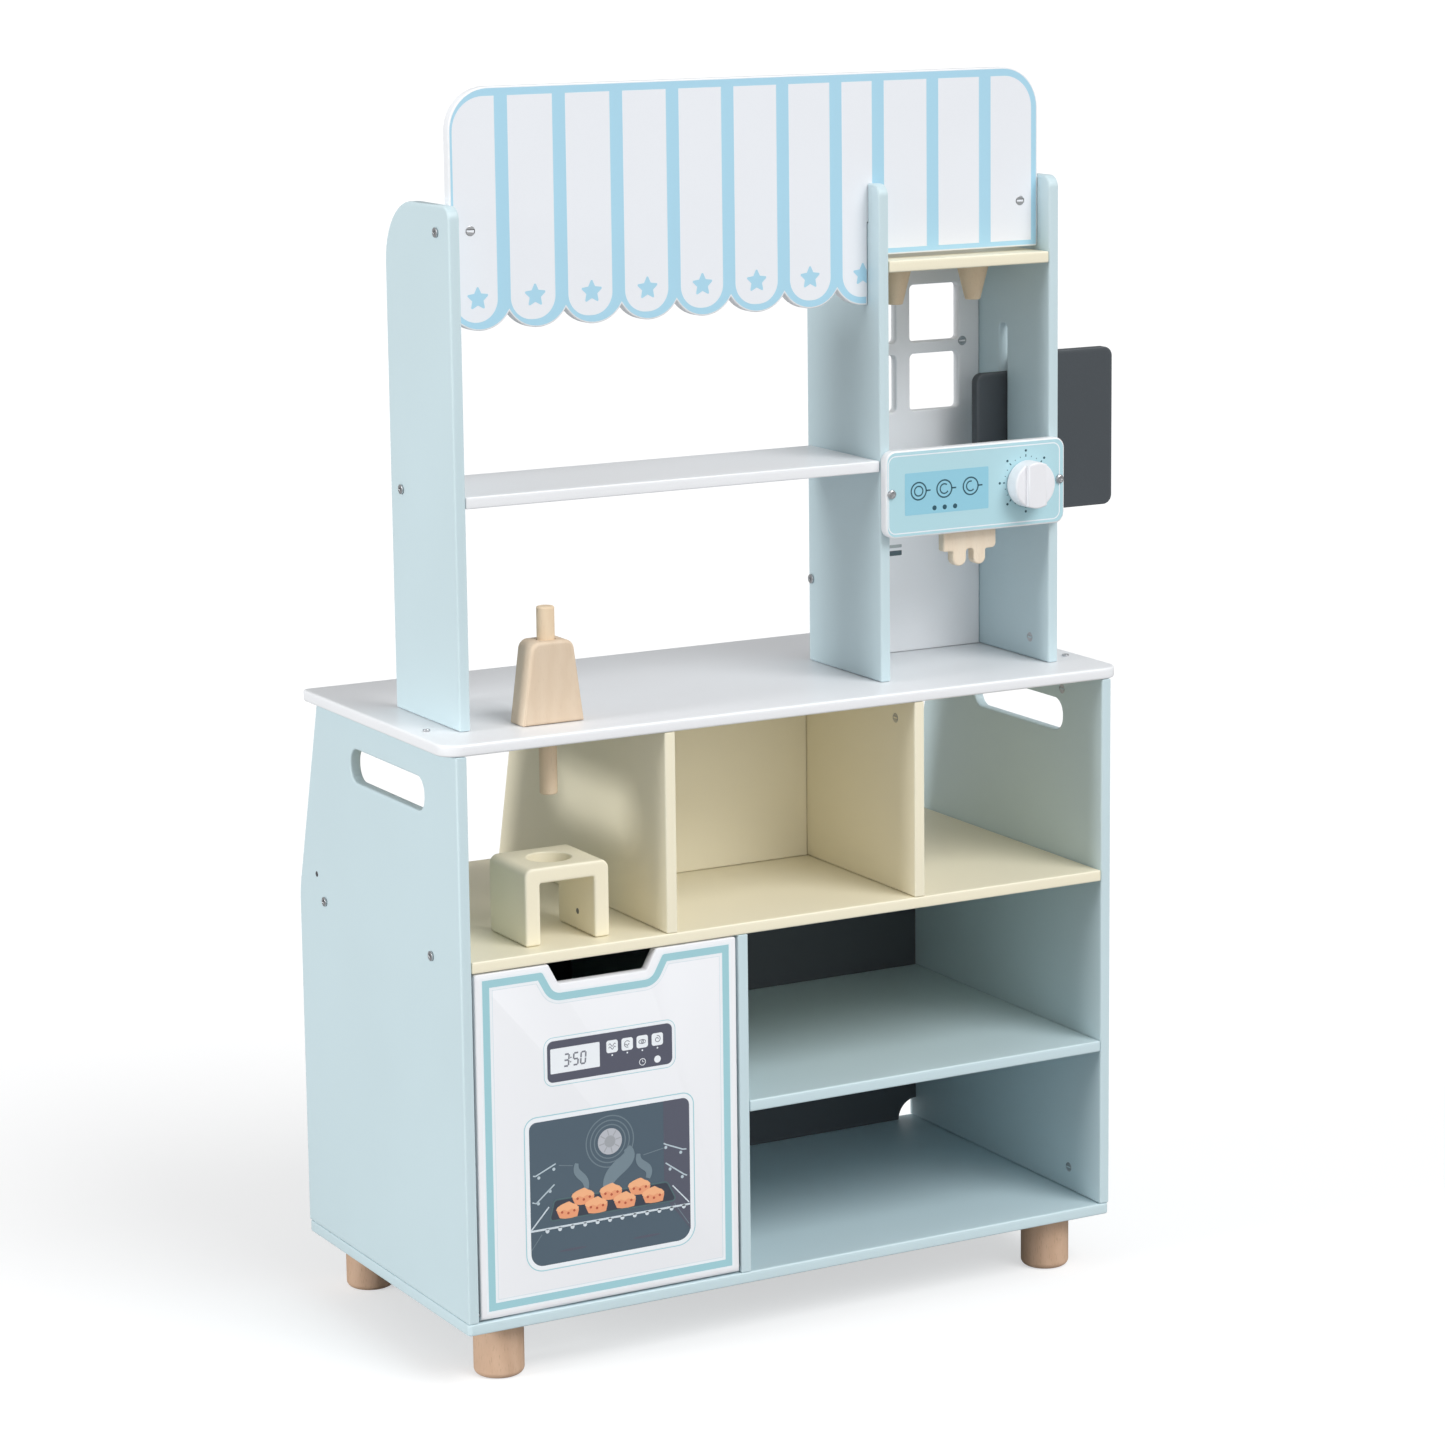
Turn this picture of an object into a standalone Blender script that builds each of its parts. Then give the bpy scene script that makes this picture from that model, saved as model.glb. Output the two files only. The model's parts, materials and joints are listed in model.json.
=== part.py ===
"""Toy kitchen with an ice-cream counter and a coffee counter, in metres, Z up, front towards -Y."""
import math

import bmesh
import bpy
from mathutils import Matrix, Vector
from mathutils.geometry import tessellate_polygon

MM = 0.001
T = 9.5                  # board thickness
FIT = 0.15               # every board face is set back by half of the joint gap
EDGE = 1.1               # rounding of the board edges

# The frame's origin is under the middle of the whole: these place the cabinet in it.
CABINET_X = -31.35
CABINET_Y = -153.5

HALF_W = 296.0           # outside of the side panels
DEPTH = 308.0
FOOT_H = 46.0
FOOT_R = 20.0
BASE_TOP = FOOT_H + T
LOW_SHELF = 187.4
SHELF = 333.0            # underside of the long shelf
SHELF_TOP = SHELF + T
COUNTER = 502.5          # underside of the countertop
COUNTER_TOP = COUNTER + T
OVERHANG = 9.8
COUNTER_BACK = 270.0
SLANT_BACK = 262.5       # depth of the side panels under the countertop
SLANT_FROM = 338.0
BACK_Y = 296.0

DIVIDER_X = -56.0
CUBBY_X = (-118.4, 107.2)
CUBBY_BACK = 174.0

UPRIGHT_IN = 262.4       # inner faces of the outer uprights
UPRIGHT_M = 102.1
UPRIGHT_Y = (43.5, 160.0)
UPRIGHT_TOP = 912.5
UPPER_SHELF = 683.0
TOP_SHELF = 842.0
BAY_BACK = 150.0

AWNING_Y = 61.0
AWNING_TOP = 1000.0
AWNING_LOW = 854.8      # underside of the awning beside the right upright
CUSP = 829.2
SCALLOP_LOW = 815.7
SCALLOP_PITCH = 48.05
SCALLOPS = 8
AWNING_R = 33.0
LAP = 31.0               # depth of the notch in the middle upright's top, where the awning crosses it

FASCIA_Y = 34.1
FASCIA_Z = (629.5, 700.5)
KNOB = (234.5, 665.1)
KNOB_R = 19.0
KNOB_BAR = 18.0
KNOB_T = 14.5            # the disc's thickness, under the bar

SHANK_R = 2.7            # bolts, and their bores
BORE_R = 3.1
NUT_R = 4.1              # barrel nuts, set in cross bores
NUT_T = 7.0
NUT_BORE = 7.4           # depth of the cross bore

DOOR_X = (-285.0, -57.6)
DOOR_Z = (56.2, 332.2)
HINGE_Y = T / 2
HINGE_Z = DOOR_Z[0] + T / 2

ROD = (-195.8, 47.0)
ROD_R = 7.0
ROD_Z = (455.0, 602.5)

MENU_Y = 113.8
SLOT = (107.7, 119.9, 654.5, 786.0)

BLUE = (0.545, 0.665, 0.705)
WHITE = (0.85, 0.86, 0.88)
CREAM = (0.83, 0.78, 0.62)
BEECH = (0.62, 0.42, 0.26)
RAW = (0.80, 0.66, 0.47)
DARK = (0.075, 0.08, 0.095)
STEEL = (0.55, 0.56, 0.57)


def world(x, y, z):
    """Cabinet millimetres to metres in the shared frame."""
    return Vector(((x + CABINET_X) * MM, (y + CABINET_Y) * MM, z * MM))


def material(name, colour, rough=0.45, metal=0.0):
    mat = bpy.data.materials.new(name)
    mat.use_nodes = True
    shader = mat.node_tree.nodes["Principled BSDF"]
    shader.inputs["Base Color"].default_value = (*colour, 1.0)
    shader.inputs["Roughness"].default_value = rough
    shader.inputs["Metallic"].default_value = metal
    return mat


def finish(name, bm, colour, rough=0.45, metal=0.0):
    """One closed body facing outwards, as a named object with its own material."""
    bmesh.ops.recalc_face_normals(bm, faces=bm.faces)
    mesh = bpy.data.meshes.new(name)
    bm.to_mesh(mesh)
    bm.free()
    obj = bpy.data.objects.new(name, mesh)
    obj.data.materials.append(material(name, colour, rough, metal))
    bpy.context.scene.collection.objects.link(obj)
    return obj


def rounded(corners, step=math.radians(18)):
    """Outline through (u, v, radius) corners, each one replaced by an arc."""
    out = []
    count = len(corners)
    for i, (u, v, r) in enumerate(corners):
        here = Vector((u, v))
        before = Vector(corners[i - 1][:2])
        after = Vector(corners[(i + 1) % count][:2])
        if r <= 0:
            out.append((u, v))
            continue
        a = (before - here).normalized()
        b = (after - here).normalized()
        half = a.angle(b) / 2
        centre = here + (a + b).normalized() * (r / math.sin(half))
        start = here + a * (r / math.tan(half)) - centre
        end = here + b * (r / math.tan(half)) - centre
        turn = math.atan2(start.x * end.y - start.y * end.x, start.dot(end))
        n = max(2, math.ceil(abs(turn) / step))
        for k in range(n + 1):
            t = turn * k / n
            out.append((
                centre.x + start.x * math.cos(t) - start.y * math.sin(t),
                centre.y + start.x * math.sin(t) + start.y * math.cos(t),
            ))
    return out


def area(loop):
    return sum(a[0] * b[1] - b[0] * a[1] for a, b in zip(loop, loop[1:] + loop[:1])) / 2


def inset(loop, d):
    """The loop with every side moved by d to its left."""
    out = []
    n = len(loop)
    for i in range(n):
        p0 = Vector(loop[i - 1])
        p1 = Vector(loop[i])
        p2 = Vector(loop[(i + 1) % n])
        e0 = (p1 - p0).normalized()
        e1 = (p2 - p1).normalized()
        n0 = Vector((-e0.y, e0.x))
        n1 = Vector((-e1.y, e1.x))
        k = 1.0 + n0.dot(n1)
        if k < 0.2:
            k = 0.2
        q = p1 + (n0 + n1) * (d / k)
        out.append((q.x, q.y))
    return out


AXES = {"x": lambda u, v, t: (t, u, v), "y": lambda u, v, t: (u, t, v), "z": lambda u, v, t: (u, v, t)}


def slab(name, axis, loops, t0, t1, colour, edge=EDGE, fit=FIT, rough=0.45):
    """Board across an axis: outline first, then its holes, with every arris rounded."""
    place = AXES[axis]
    sides = []
    for i, loop in enumerate(loops):
        ccw = area(loop) > 0
        if ccw != (i == 0):
            loop = loop[::-1]
        sides.append(inset(loop, fit))
    t0 += fit
    t1 -= fit
    c = edge * (1 - math.cos(math.pi / 4))
    levels = [(t0, edge), (t0 + c, c), (t0 + edge, 0.0), (t1 - edge, 0.0), (t1 - c, c), (t1, edge)]
    bm = bmesh.new()
    grid = []
    for t, d in levels:
        ring = []
        for loop in sides:
            pts = inset(loop, d) if d else loop
            ring.append([bm.verts.new(world(*place(u, v, t))) for u, v in pts])
        grid.append(ring)
    for low, high in zip(grid, grid[1:]):
        for a, b in zip(low, high):
            for i in range(len(a)):
                j = (i + 1) % len(a)
                bm.faces.new((a[i], a[j], b[j], b[i]))
    for level, ring in ((levels[0], grid[0]), (levels[-1], grid[-1])):
        flat = [[Vector((*p, 0.0)) for p in (inset(loop, level[1]))] for loop in sides]
        verts = [v for loop in ring for v in loop]
        if len(ring) == 1:
            bm.faces.new(verts)
            continue
        for tri in tessellate_polygon(flat):
            bm.faces.new([verts[i] for i in tri])
    return finish(name, bm, colour, rough)


def rect(u0, u1, v0, v1, r=0.0):
    return rounded([(u0, v0, r), (u1, v0, r), (u1, v1, r), (u0, v1, r)])


def board(name, axis, u, v, t0, colour, r=0.0, holes=(), thick=T, edge=EDGE):
    return slab(name, axis, [rect(*u, *v, r), *holes], t0, t0 + thick, colour, edge)


def turned(name, axis, centre, profile, colour, segments=32, rough=0.45, metal=0.0):
    """Solid of revolution: profile is (distance along the axis, radius) from end to end."""
    bm = bmesh.new()
    rings = []
    for t, r in profile:
        ring = []
        for k in range(segments):
            a = 2 * math.pi * k / segments
            ring.append(bm.verts.new(world(*spot(axis, centre, t, r * math.cos(a), r * math.sin(a)))))
        rings.append(ring)
    for low, high in zip(rings, rings[1:]):
        for i in range(segments):
            j = (i + 1) % segments
            bm.faces.new((low[i], low[j], high[j], high[i]))
    bm.faces.new(rings[0])
    bm.faces.new(rings[-1])
    return finish(name, bm, colour, rough, metal)


def spot(axis, centre, t, u, v):
    a, b = centre
    return {"x": (t, a + u, b + v), "y": (a + u, t, b + v), "z": (a + u, b + v, t)}[axis]


def boolean(obj, cutter, operation):
    mod = obj.modifiers.new("cut", "BOOLEAN")
    mod.solver = "EXACT"
    mod.operation = operation
    mod.object = cutter
    graph = bpy.context.evaluated_depsgraph_get()
    mesh = bpy.data.meshes.new_from_object(obj.evaluated_get(graph))
    obj.modifiers.clear()
    obj.data = mesh
    bpy.data.objects.remove(cutter)


def drill(obj, bores, segments=20):
    """Cut round bores: each is (axis, centre, from, to, radius)."""
    for axis, centre, a, b, r in bores:
        cutter = turned("bore", axis, centre, [(a, r), (b, r)], STEEL, segments)
        boolean(obj, cutter, "DIFFERENCE")


def set_origin(obj, x, y, z):
    at = world(x, y, z)
    obj.data.transform(Matrix.Translation(-at))
    obj.location = at


def bolt(name, axis, centre, face, inward, length):
    """Socket-head bolt: flat head on the face, shank going inward."""
    s = inward
    profile = [
        (face - s * 1.5, 1.6), (face - s * 1.5, 3.7), (face - s * 1.1, 4.1),
        (face - s * FIT, 4.1), (face - s * FIT, SHANK_R), (face + s * length, SHANK_R),
    ]
    profile = [(face - s * 0.5, 1.6)] + profile
    return turned(name, axis, centre, profile, STEEL, 20, 0.3, 1.0)


def barrel(name, axis, centre, face, inward):
    """Barrel nut: a short pin in a cross bore, with a slot for the screwdriver left to the finish."""
    s = inward
    profile = [(face - s * 0.1, 3.7), (face + s * 0.3, NUT_R), (face + s * NUT_T, NUT_R)]
    return turned(name, axis, centre, profile, STEEL, 20, 0.35, 1.0)


def clear_scene():
    for obj in list(bpy.data.objects):
        bpy.data.objects.remove(obj)


def build_base():
    base = slab(
        "base_board", "z",
        [rounded([(-HALF_W, 0, 4), (HALF_W, 0, 4), (HALF_W, DEPTH, 4), (-HALF_W, DEPTH, 4)])],
        FOOT_H, BASE_TOP, BLUE,
    )
    feet = [(sx * 254.3, y) for y in (35.2, 280.0) for sx in (-1, 1)]
    for tag, at in zip(("front_left", "front_right", "back_left", "back_right"), feet):
        curve = [(5 - 5 * math.cos(a), FOOT_R - 5 + 5 * math.sin(a)) for a in (0.0, 0.4, 0.8, 1.2, math.pi / 2)]
        top = FOOT_H - FIT
        profile = curve + [(top, FOOT_R), (top, 8.0), (top + 6.0, 8.0)]
        turned("foot_" + tag, "z", at, profile, BEECH, 40)
    drill(base, [("z", at, FOOT_H - 2, FOOT_H + 6.6, 8.3) for at in feet])


def side_outline():
    return rounded([(0, BASE_TOP, 0), (DEPTH, BASE_TOP, 0), (DEPTH, SLANT_FROM, 60),
                    (SLANT_BACK, COUNTER, 0), (0, COUNTER, 0)])


def build_cabinet():
    grip = rect(59.5, 198.0, 448.5, 475.5, 12.0)
    left = slab("side_panel_left", "x", [side_outline(), grip], -HALF_W, -HALF_W + T, BLUE)
    right = slab("side_panel_right", "x", [side_outline(), grip], HALF_W - T, HALF_W, BLUE)
    inner = HALF_W - T
    divider = board("lower_divider", "x", (0, BACK_Y), (BASE_TOP, SHELF), DIVIDER_X, BLUE)
    board("lower_shelf", "z", (DIVIDER_X + T, inner), (0, BACK_Y), LOW_SHELF, BLUE)
    shelf = board("long_shelf", "z", (-inner, inner), (0, BACK_Y + T), SHELF, CREAM)
    back_top = DEPTH - 5.0
    for tag, x in zip(("left", "right"), CUBBY_X):
        outline = [(0, SHELF_TOP), (back_top, SHELF_TOP), (SLANT_BACK, COUNTER), (0, COUNTER)]
        slab("cubby_divider_" + tag, "x", [outline], x, x + T, CREAM)
    board("cubby_back", "y", (CUBBY_X[0] + T, CUBBY_X[1]), (SHELF_TOP, COUNTER), CUBBY_BACK, CREAM)
    notch = [(inner + 18 * math.cos(a), BASE_TOP + 18 * math.sin(a))
             for a in (math.pi - k * math.pi / 16 for k in range(9))]
    outline = [(-inner, BASE_TOP)] + notch + [(inner, SHELF), (-inner, SHELF)]
    slab("chalk_back", "y", [outline], BACK_Y, BACK_Y + T, DARK, rough=0.7)
    bores = []
    for tag, side, panel in (("left", -1, left), ("right", 1, right)):
        face = side * HALF_W
        for spot_y, place in ((52.4, "front"), (256.0, "back")):
            at = (spot_y, SHELF + T / 2)
            bolt("bolt_%s_%s" % (tag, place), "x", at, face, -side, 30.0)
            drill(panel, [("x", at, face + side, face - side * (T + 1), BORE_R)])
            bores.append(("x", at, side * (inner + 1), face - side * 31.0, BORE_R))
    drill(shelf, bores)
    top_nut = (60.0, 485.0)
    low_nut = (47.8, 75.0)
    nuts = []
    for tag, at in (("top", top_nut), ("low", low_nut)):
        barrel("nut_side_" + tag, "x", at, inner, 1)
        nuts.append(("x", at, inner - 1, inner + NUT_BORE, NUT_R + 0.3))
    drill(right, nuts)
    at = (29.9, 484.9)
    face = CUBBY_X[1]
    barrel("nut_divider", "x", at, face, 1)
    drill(bpy.data.objects["cubby_divider_right"], [("x", at, face - 1, face + NUT_BORE, NUT_R + 0.3)])
    for side, panel in ((-1, left), (1, right)):
        x = side * (HALF_W - T / 2)
        drill(panel, [("z", (x, 62.0), COUNTER + 1, COUNTER - 11.0, BORE_R)])
    return left, divider


def build_oven(left, divider):
    x0, x1 = DOOR_X
    z0, z1 = DOOR_Z
    outline = rounded([
        (x0, z0, 0), (x1, z0, 0), (x1, z1, 2.0), (-128.4, z1, 2.0), (-137.2, 316.0, 2.0),
        (-213.2, 316.0, 2.0), (-221.7, z1, 2.0), (x0, z1, 2.0),
    ])
    door = slab("oven_door", "y", [outline], 0.0, T, WHITE)
    r = T / 2 - 0.12
    nose = [(HINGE_Y + r * math.cos(a), HINGE_Z + r * math.sin(a))
            for a in (math.pi + k * math.pi / 12 for k in range(13))]
    keep = nose + [(T + 3, HINGE_Z + 3), (T + 3, z1 + 5), (-3, z1 + 5), (-3, HINGE_Z + 3)]
    cutter = slab("keep", "x", [keep], x0 - 5, x1 + 5, WHITE, 0.01, 0.0)
    boolean(door, cutter, "INTERSECT")
    axis = (HINGE_Y, HINGE_Z)
    magnet = (-95.0, 321.0)
    drill(door, [
        ("x", axis, x0 - 1, x0 + 12.6, 2.3), ("x", axis, x1 + 1, x1 - 12.6, 2.3),
        ("y", magnet, T + 1, T - 3.4, 5.3),
    ])
    set_origin(door, (x0 + x1) / 2, HINGE_Y, HINGE_Z)
    inner = -HALF_W + T
    turned("hinge_pin_left", "x", axis, [(inner - 5.5, 2.0), (x0 + 12.0, 2.0)], STEEL, 16, 0.3, 1.0)
    turned("hinge_pin_right", "x", axis, [(DIVIDER_X + 5.5, 2.0), (x1 - 12.0, 2.0)], STEEL, 16, 0.3, 1.0)
    drill(left, [("x", axis, inner + 1, inner - 6.0, 2.3)])
    drill(divider, [("x", axis, DIVIDER_X - 1, DIVIDER_X + 6.0, 2.3)])
    disc = turned("door_magnet", "y", magnet, [(T - 3.1, 5.0), (T - FIT - 0.1, 5.0)], STEEL, 24, 0.3, 1.0)
    set_origin(disc, (x0 + x1) / 2, HINGE_Y, HINGE_Z)
    stop = slab("door_stop", "z", [rect(-110, -80, T + 0.2, 27.0, 2.0)], 310.0, SHELF, DARK)
    drill(stop, [("y", magnet, T, T + 3.4, 5.3)])
    turned("keeper_disc", "y", magnet, [(T + 0.6, 5.0), (T + 3.0, 5.0)], STEEL, 24, 0.3, 1.0)


def build_counter():
    w = HALF_W + OVERHANG
    outline = rounded([(-w, -1, 17), (w, -1, 17), (w, COUNTER_BACK, 6), (-w, COUNTER_BACK, 6)])
    top = slab("countertop", "z", [outline], COUNTER, COUNTER_TOP, WHITE)
    bores = [("z", ROD, COUNTER - 1, COUNTER_TOP + 1, ROD_R + 0.4)]
    for tag, side in (("left", -1), ("right", 1)):
        at = (side * (HALF_W - T / 2), 62.0)
        bolt("bolt_counter_" + tag, "z", at, COUNTER_TOP, -1, 19.0)
        bores.append(("z", at, COUNTER_TOP + 1, COUNTER - 1, BORE_R))
    drill(top, bores)


def upright(name, x, notch=(), holes=()):
    y0, y1 = UPRIGHT_Y
    outline = rounded([(y0, COUNTER_TOP, 0), (y1, COUNTER_TOP, 0), (y1, UPRIGHT_TOP, 50), *notch,
                       (y0, UPRIGHT_TOP, 10)], math.radians(15))
    return slab(name, "x", [outline, *holes], x, x + T, BLUE)


def scallop(x0, x1, n=9):
    """Arc hanging between two cusps."""
    half = (x1 - x0) / 2
    sag = CUSP - SCALLOP_LOW
    r = (half * half + sag * sag) / (2 * sag)
    cx = (x0 + x1) / 2
    cz = SCALLOP_LOW + r
    span = math.asin(half / r)
    return [(cx + r * math.sin(a), cz - r * math.cos(a))
            for a in (-span + 2 * span * k / n for k in range(n + 1))]


def awning_outline():
    left = -UPRIGHT_IN
    pts = []
    for k in range(SCALLOPS - 1):
        pts += scallop(left + k * SCALLOP_PITCH, left + (k + 1) * SCALLOP_PITCH)[:-1]
    last = scallop(left + 7 * SCALLOP_PITCH, left + 8 * SCALLOP_PITCH, 16)
    before = [p for p in last if p[0] < UPRIGHT_M - 0.5]
    pts += before + [(UPRIGHT_M, before[-1][1] + 0.2), (UPRIGHT_M, UPRIGHT_TOP - LAP),
                     (UPRIGHT_M + T, UPRIGHT_TOP - LAP), (UPRIGHT_M + T, AWNING_LOW), (UPRIGHT_IN, AWNING_LOW)]
    top = rounded([(UPRIGHT_IN, AWNING_LOW, 0), (UPRIGHT_IN, AWNING_TOP, AWNING_R),
                   (left, AWNING_TOP, AWNING_R), (left, CUSP, 0)], math.radians(12))
    return pts + top[1:-1]


def build_upper():
    y0 = UPRIGHT_Y[0]
    left = upright("upright_left", -UPRIGHT_IN - T)
    lap = [(AWNING_Y + T, UPRIGHT_TOP, 0), (AWNING_Y + T, UPRIGHT_TOP - LAP, 0),
           (AWNING_Y, UPRIGHT_TOP - LAP, 0), (AWNING_Y, UPRIGHT_TOP, 0)]
    middle = upright("upright_middle", UPRIGHT_M, lap)
    slot = rounded([(SLOT[0], SLOT[2], 0.8), (SLOT[1], SLOT[2], 0.8), (SLOT[1], SLOT[3], 5), (SLOT[0], SLOT[3], 5)])
    right = upright("upright_right", UPRIGHT_IN, holes=[slot])
    awning = slab("awning_board", "y", [awning_outline()], AWNING_Y, AWNING_Y + T, WHITE, 0.8)
    shelf = board("upper_shelf", "z", (-UPRIGHT_IN, UPRIGHT_M), (y0, 153.5), UPPER_SHELF, WHITE)
    bay = (UPRIGHT_M + T, UPRIGHT_IN)
    board("top_shelf", "z", bay, (y0, BAY_BACK), TOP_SHELF, CREAM)
    windows = [rect(x, x + 47.0, z, z + 47.0, 4.0) for x in (134.4, 194.9) for z in (714.2, 771.4)]
    back = board("bay_back", "y", bay, (COUNTER_TOP, TOP_SHELF + T), BAY_BACK, WHITE, holes=windows)
    for tag, x in (("left", 150.0), ("right", 224.0)):
        turned("cone_holder_" + tag, "z", (x, 99.0),
               [(810.0, 5.0), (810.8, 6.2), (TOP_SHELF - FIT, 14.2)], RAW, 32)
    at = (AWNING_Y + T / 2, 892.0)
    for tag, side, post in (("left", -1, left), ("right", 1, right)):
        face = side * (UPRIGHT_IN + T)
        bolt("bolt_awning_" + tag, "x", at, face, -side, T + 11.0)
        drill(post, [("x", at, face + side, side * (UPRIGHT_IN - 1), BORE_R)])
        drill(awning, [("x", at, side * (UPRIGHT_IN + 1), side * (UPRIGHT_IN - 14.0), BORE_R)])
        nut = (side * (UPRIGHT_IN - 16.8), 892.0)
        barrel("nut_awning_" + tag, "y", nut, AWNING_Y, 1)
        drill(awning, [("y", nut, AWNING_Y - 1, AWNING_Y + NUT_BORE, NUT_R + 0.3)])
    at = (139.6, UPPER_SHELF + T / 2)
    bolt("bolt_shelf_left", "x", at, -UPRIGHT_IN - T, 1, 30.0)
    drill(left, [("x", at, -UPRIGHT_IN - T - 1, -UPRIGHT_IN + 1, BORE_R)])
    drill(shelf, [("x", at, -UPRIGHT_IN - 1, -UPRIGHT_IN + 21.2, BORE_R)])
    at = (BAY_BACK + T / 2, 581.0)
    bolt("bolt_bay_middle", "x", at, UPRIGHT_M, 1, T + 12.0)
    drill(middle, [("x", at, UPRIGHT_M - 1, UPRIGHT_M + T + 1, BORE_R)])
    drill(back, [("x", at, UPRIGHT_M + T - 1, UPRIGHT_M + T + 12.6, BORE_R)])
    at = (BAY_BACK + T / 2, 769.7)
    bolt("bolt_bay_right", "x", at, UPRIGHT_IN + T, -1, T + 11.0)
    drill(right, [("x", at, UPRIGHT_IN + T + 1, UPRIGHT_IN - 1, BORE_R)])
    nut = (UPRIGHT_IN - 16.8, 769.7)
    barrel("nut_bay", "y", nut, BAY_BACK, 1)
    drill(back, [("x", at, UPRIGHT_IN + 1, UPRIGHT_IN - 14.0, BORE_R),
                 ("y", nut, BAY_BACK - 1, BAY_BACK + NUT_BORE, NUT_R + 0.3)])
    at = (72.0, 529.3)
    barrel("nut_upright", "x", at, UPRIGHT_IN, 1)
    drill(right, [("x", at, UPRIGHT_IN - 1, UPRIGHT_IN + NUT_BORE, NUT_R + 0.3)])


def build_coffee():
    x0, x1 = UPRIGHT_M, UPRIGHT_IN + T
    z0, z1 = FASCIA_Z
    fascia = slab("coffee_fascia", "y", [rect(x0, x1, z0, z1, 9.0)], FASCIA_Y, FASCIA_Y + T, WHITE, 1.6)
    drill(fascia, [("y", KNOB, FASCIA_Y - 1, FASCIA_Y + T + 1, 3.3)])
    outline = rounded([
        (162.0, 648.0, 2), (162.0, 613.0, 2), (170.8, 613.0, 1.5), (170.8, 600.6, 6.0), (183.2, 600.6, 6.0),
        (183.2, 614.0, 3), (190.2, 614.0, 3), (190.2, 600.6, 5.6), (201.6, 600.6, 5.6), (201.6, 613.0, 1.5),
        (211.6, 613.0, 4), (211.6, 648.0, 2),
    ])
    slab("spout", "y", [outline], UPRIGHT_Y[0], UPRIGHT_Y[0] + T, RAW)
    face = FASCIA_Y - 0.3
    front = face - KNOB_T
    disc = [(face, KNOB_R - 1), (face - 1, KNOB_R), (front + 1.2, KNOB_R), (front + 0.3, KNOB_R - 0.5),
            (front, KNOB_R - 1.4)]
    knob = turned("coffee_knob", "y", KNOB, disc, WHITE, 48, 0.35)
    half = KNOB_BAR / 2
    end = math.sqrt((KNOB_R - 0.4) ** 2 - half ** 2)
    arc = math.asin(half / (KNOB_R - 0.4))
    ends = [(KNOB[0] + (KNOB_R - 0.4) * math.sin(a), KNOB[1] + (KNOB_R - 0.4) * math.cos(a))
            for a in (arc - 2 * arc * k / 8 for k in range(9))]
    low = [(2 * KNOB[0] - u, 2 * KNOB[1] - v) for u, v in ends]
    bar = slab("bar", "y", [ends + low], face - 18.0, face - 4.0, WHITE, 1.4, 0.0)
    boolean(knob, bar, "UNION")
    drill(knob, [("y", KNOB, face + 1, face - 8.0, 3.0)])
    set_origin(knob, KNOB[0], face, KNOB[1])
    rear = FASCIA_Y + T
    shaft = turned("knob_shaft", "y", KNOB, [
        (face - 7.6, SHANK_R), (rear + 0.3, SHANK_R), (rear + 0.3, 6.0), (rear + 3.3, 6.0),
        (rear + 3.3, SHANK_R), (rear + 5.0, SHANK_R),
    ], STEEL, 24, 0.3, 1.0)
    set_origin(shaft, KNOB[0], face, KNOB[1])
    for tag, x in (("left", UPRIGHT_M + T / 2 + 0.4), ("right", UPRIGHT_IN + T / 2 - 0.4)):
        at = (x, 666.0)
        head = [(FASCIA_Y - FIT + 20.0, 1.7), (FASCIA_Y, 1.7), (FASCIA_Y, 3.9), (FASCIA_Y - 0.8, 3.7),
                (FASCIA_Y - 1.6, 2.9), (FASCIA_Y - 2.1, 1.5)]
        turned("screw_fascia_" + tag, "y", at, head, STEEL, 20, 0.3, 1.0)
        post = bpy.data.objects["upright_middle" if tag == "left" else "upright_right"]
        hole = ("y", at, FASCIA_Y - 1, FASCIA_Y + 20.6, 2.0)
        drill(fascia, [hole])
        drill(post, [hole])


def build_dispenser():
    cx, cy = ROD
    outline = rounded([(cx - 26.4, COUNTER_TOP, 0), (cx + 26.4, COUNTER_TOP, 0), (cx + 17.8, 577.0, 8),
                       (cx - 17.8, 577.0, 8)])
    hopper = slab("hopper", "y", [outline], 34.0, 60.0, RAW, 2.6)
    drill(hopper, [("z", ROD, COUNTER_TOP - 1, 580.0, ROD_R + 0.4)], 32)
    z0, z1 = ROD_Z
    rod = turned("plunger", "z", ROD, [(z0, 5.6), (z0 + 0.4, 6.5), (z0 + 1.4, ROD_R), (z1 - 1.4, ROD_R),
                                        (z1 - 0.4, 6.5), (z1, 5.6)], RAW, 32)
    set_origin(rod, cx, cy, z1)
    x0, x1 = -231.3, -158.7
    arch = rounded([
        (x0, SHELF_TOP, 2), (x0 + 13, SHELF_TOP, 2), (x0 + 13, 391.6, 1.5), (x1 - 13, 391.6, 1.5),
        (x1 - 13, SHELF_TOP, 2), (x1, SHELF_TOP, 2), (x1, 404.0, 7), (x0, 404.0, 7),
    ])
    stand = slab("cone_stand", "y", [arch], 18.9, 83.0, CREAM, 1.4)
    drill(stand, [("z", ((x0 + x1) / 2, 50.5), 389.0, 406.0, 17.5)], 24)
    set_origin(stand, (x0 + x1) / 2, 18.9, SHELF_TOP)


def build_menu():
    inner = UPRIGHT_IN - 0.45
    outer = UPRIGHT_IN + T + 0.45
    foot = SLOT[2] + 0.1
    outline = rounded([
        (234.5, 642.5, 8), (inner, 642.5, 0), (inner, foot, 0), (outer, foot, 0), (outer, 627.6, 0),
        (368.5, 627.6, 8), (368.5, 761.2, 8), (outer, 761.2, 2), (outer, 746.3, 0), (234.5, 746.3, 8),
    ])
    menu = slab("menu_board", "y", [outline], MENU_Y - T / 2, MENU_Y + T / 2, DARK, rough=0.6)
    set_origin(menu, UPRIGHT_IN + T / 2, MENU_Y, foot)


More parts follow.
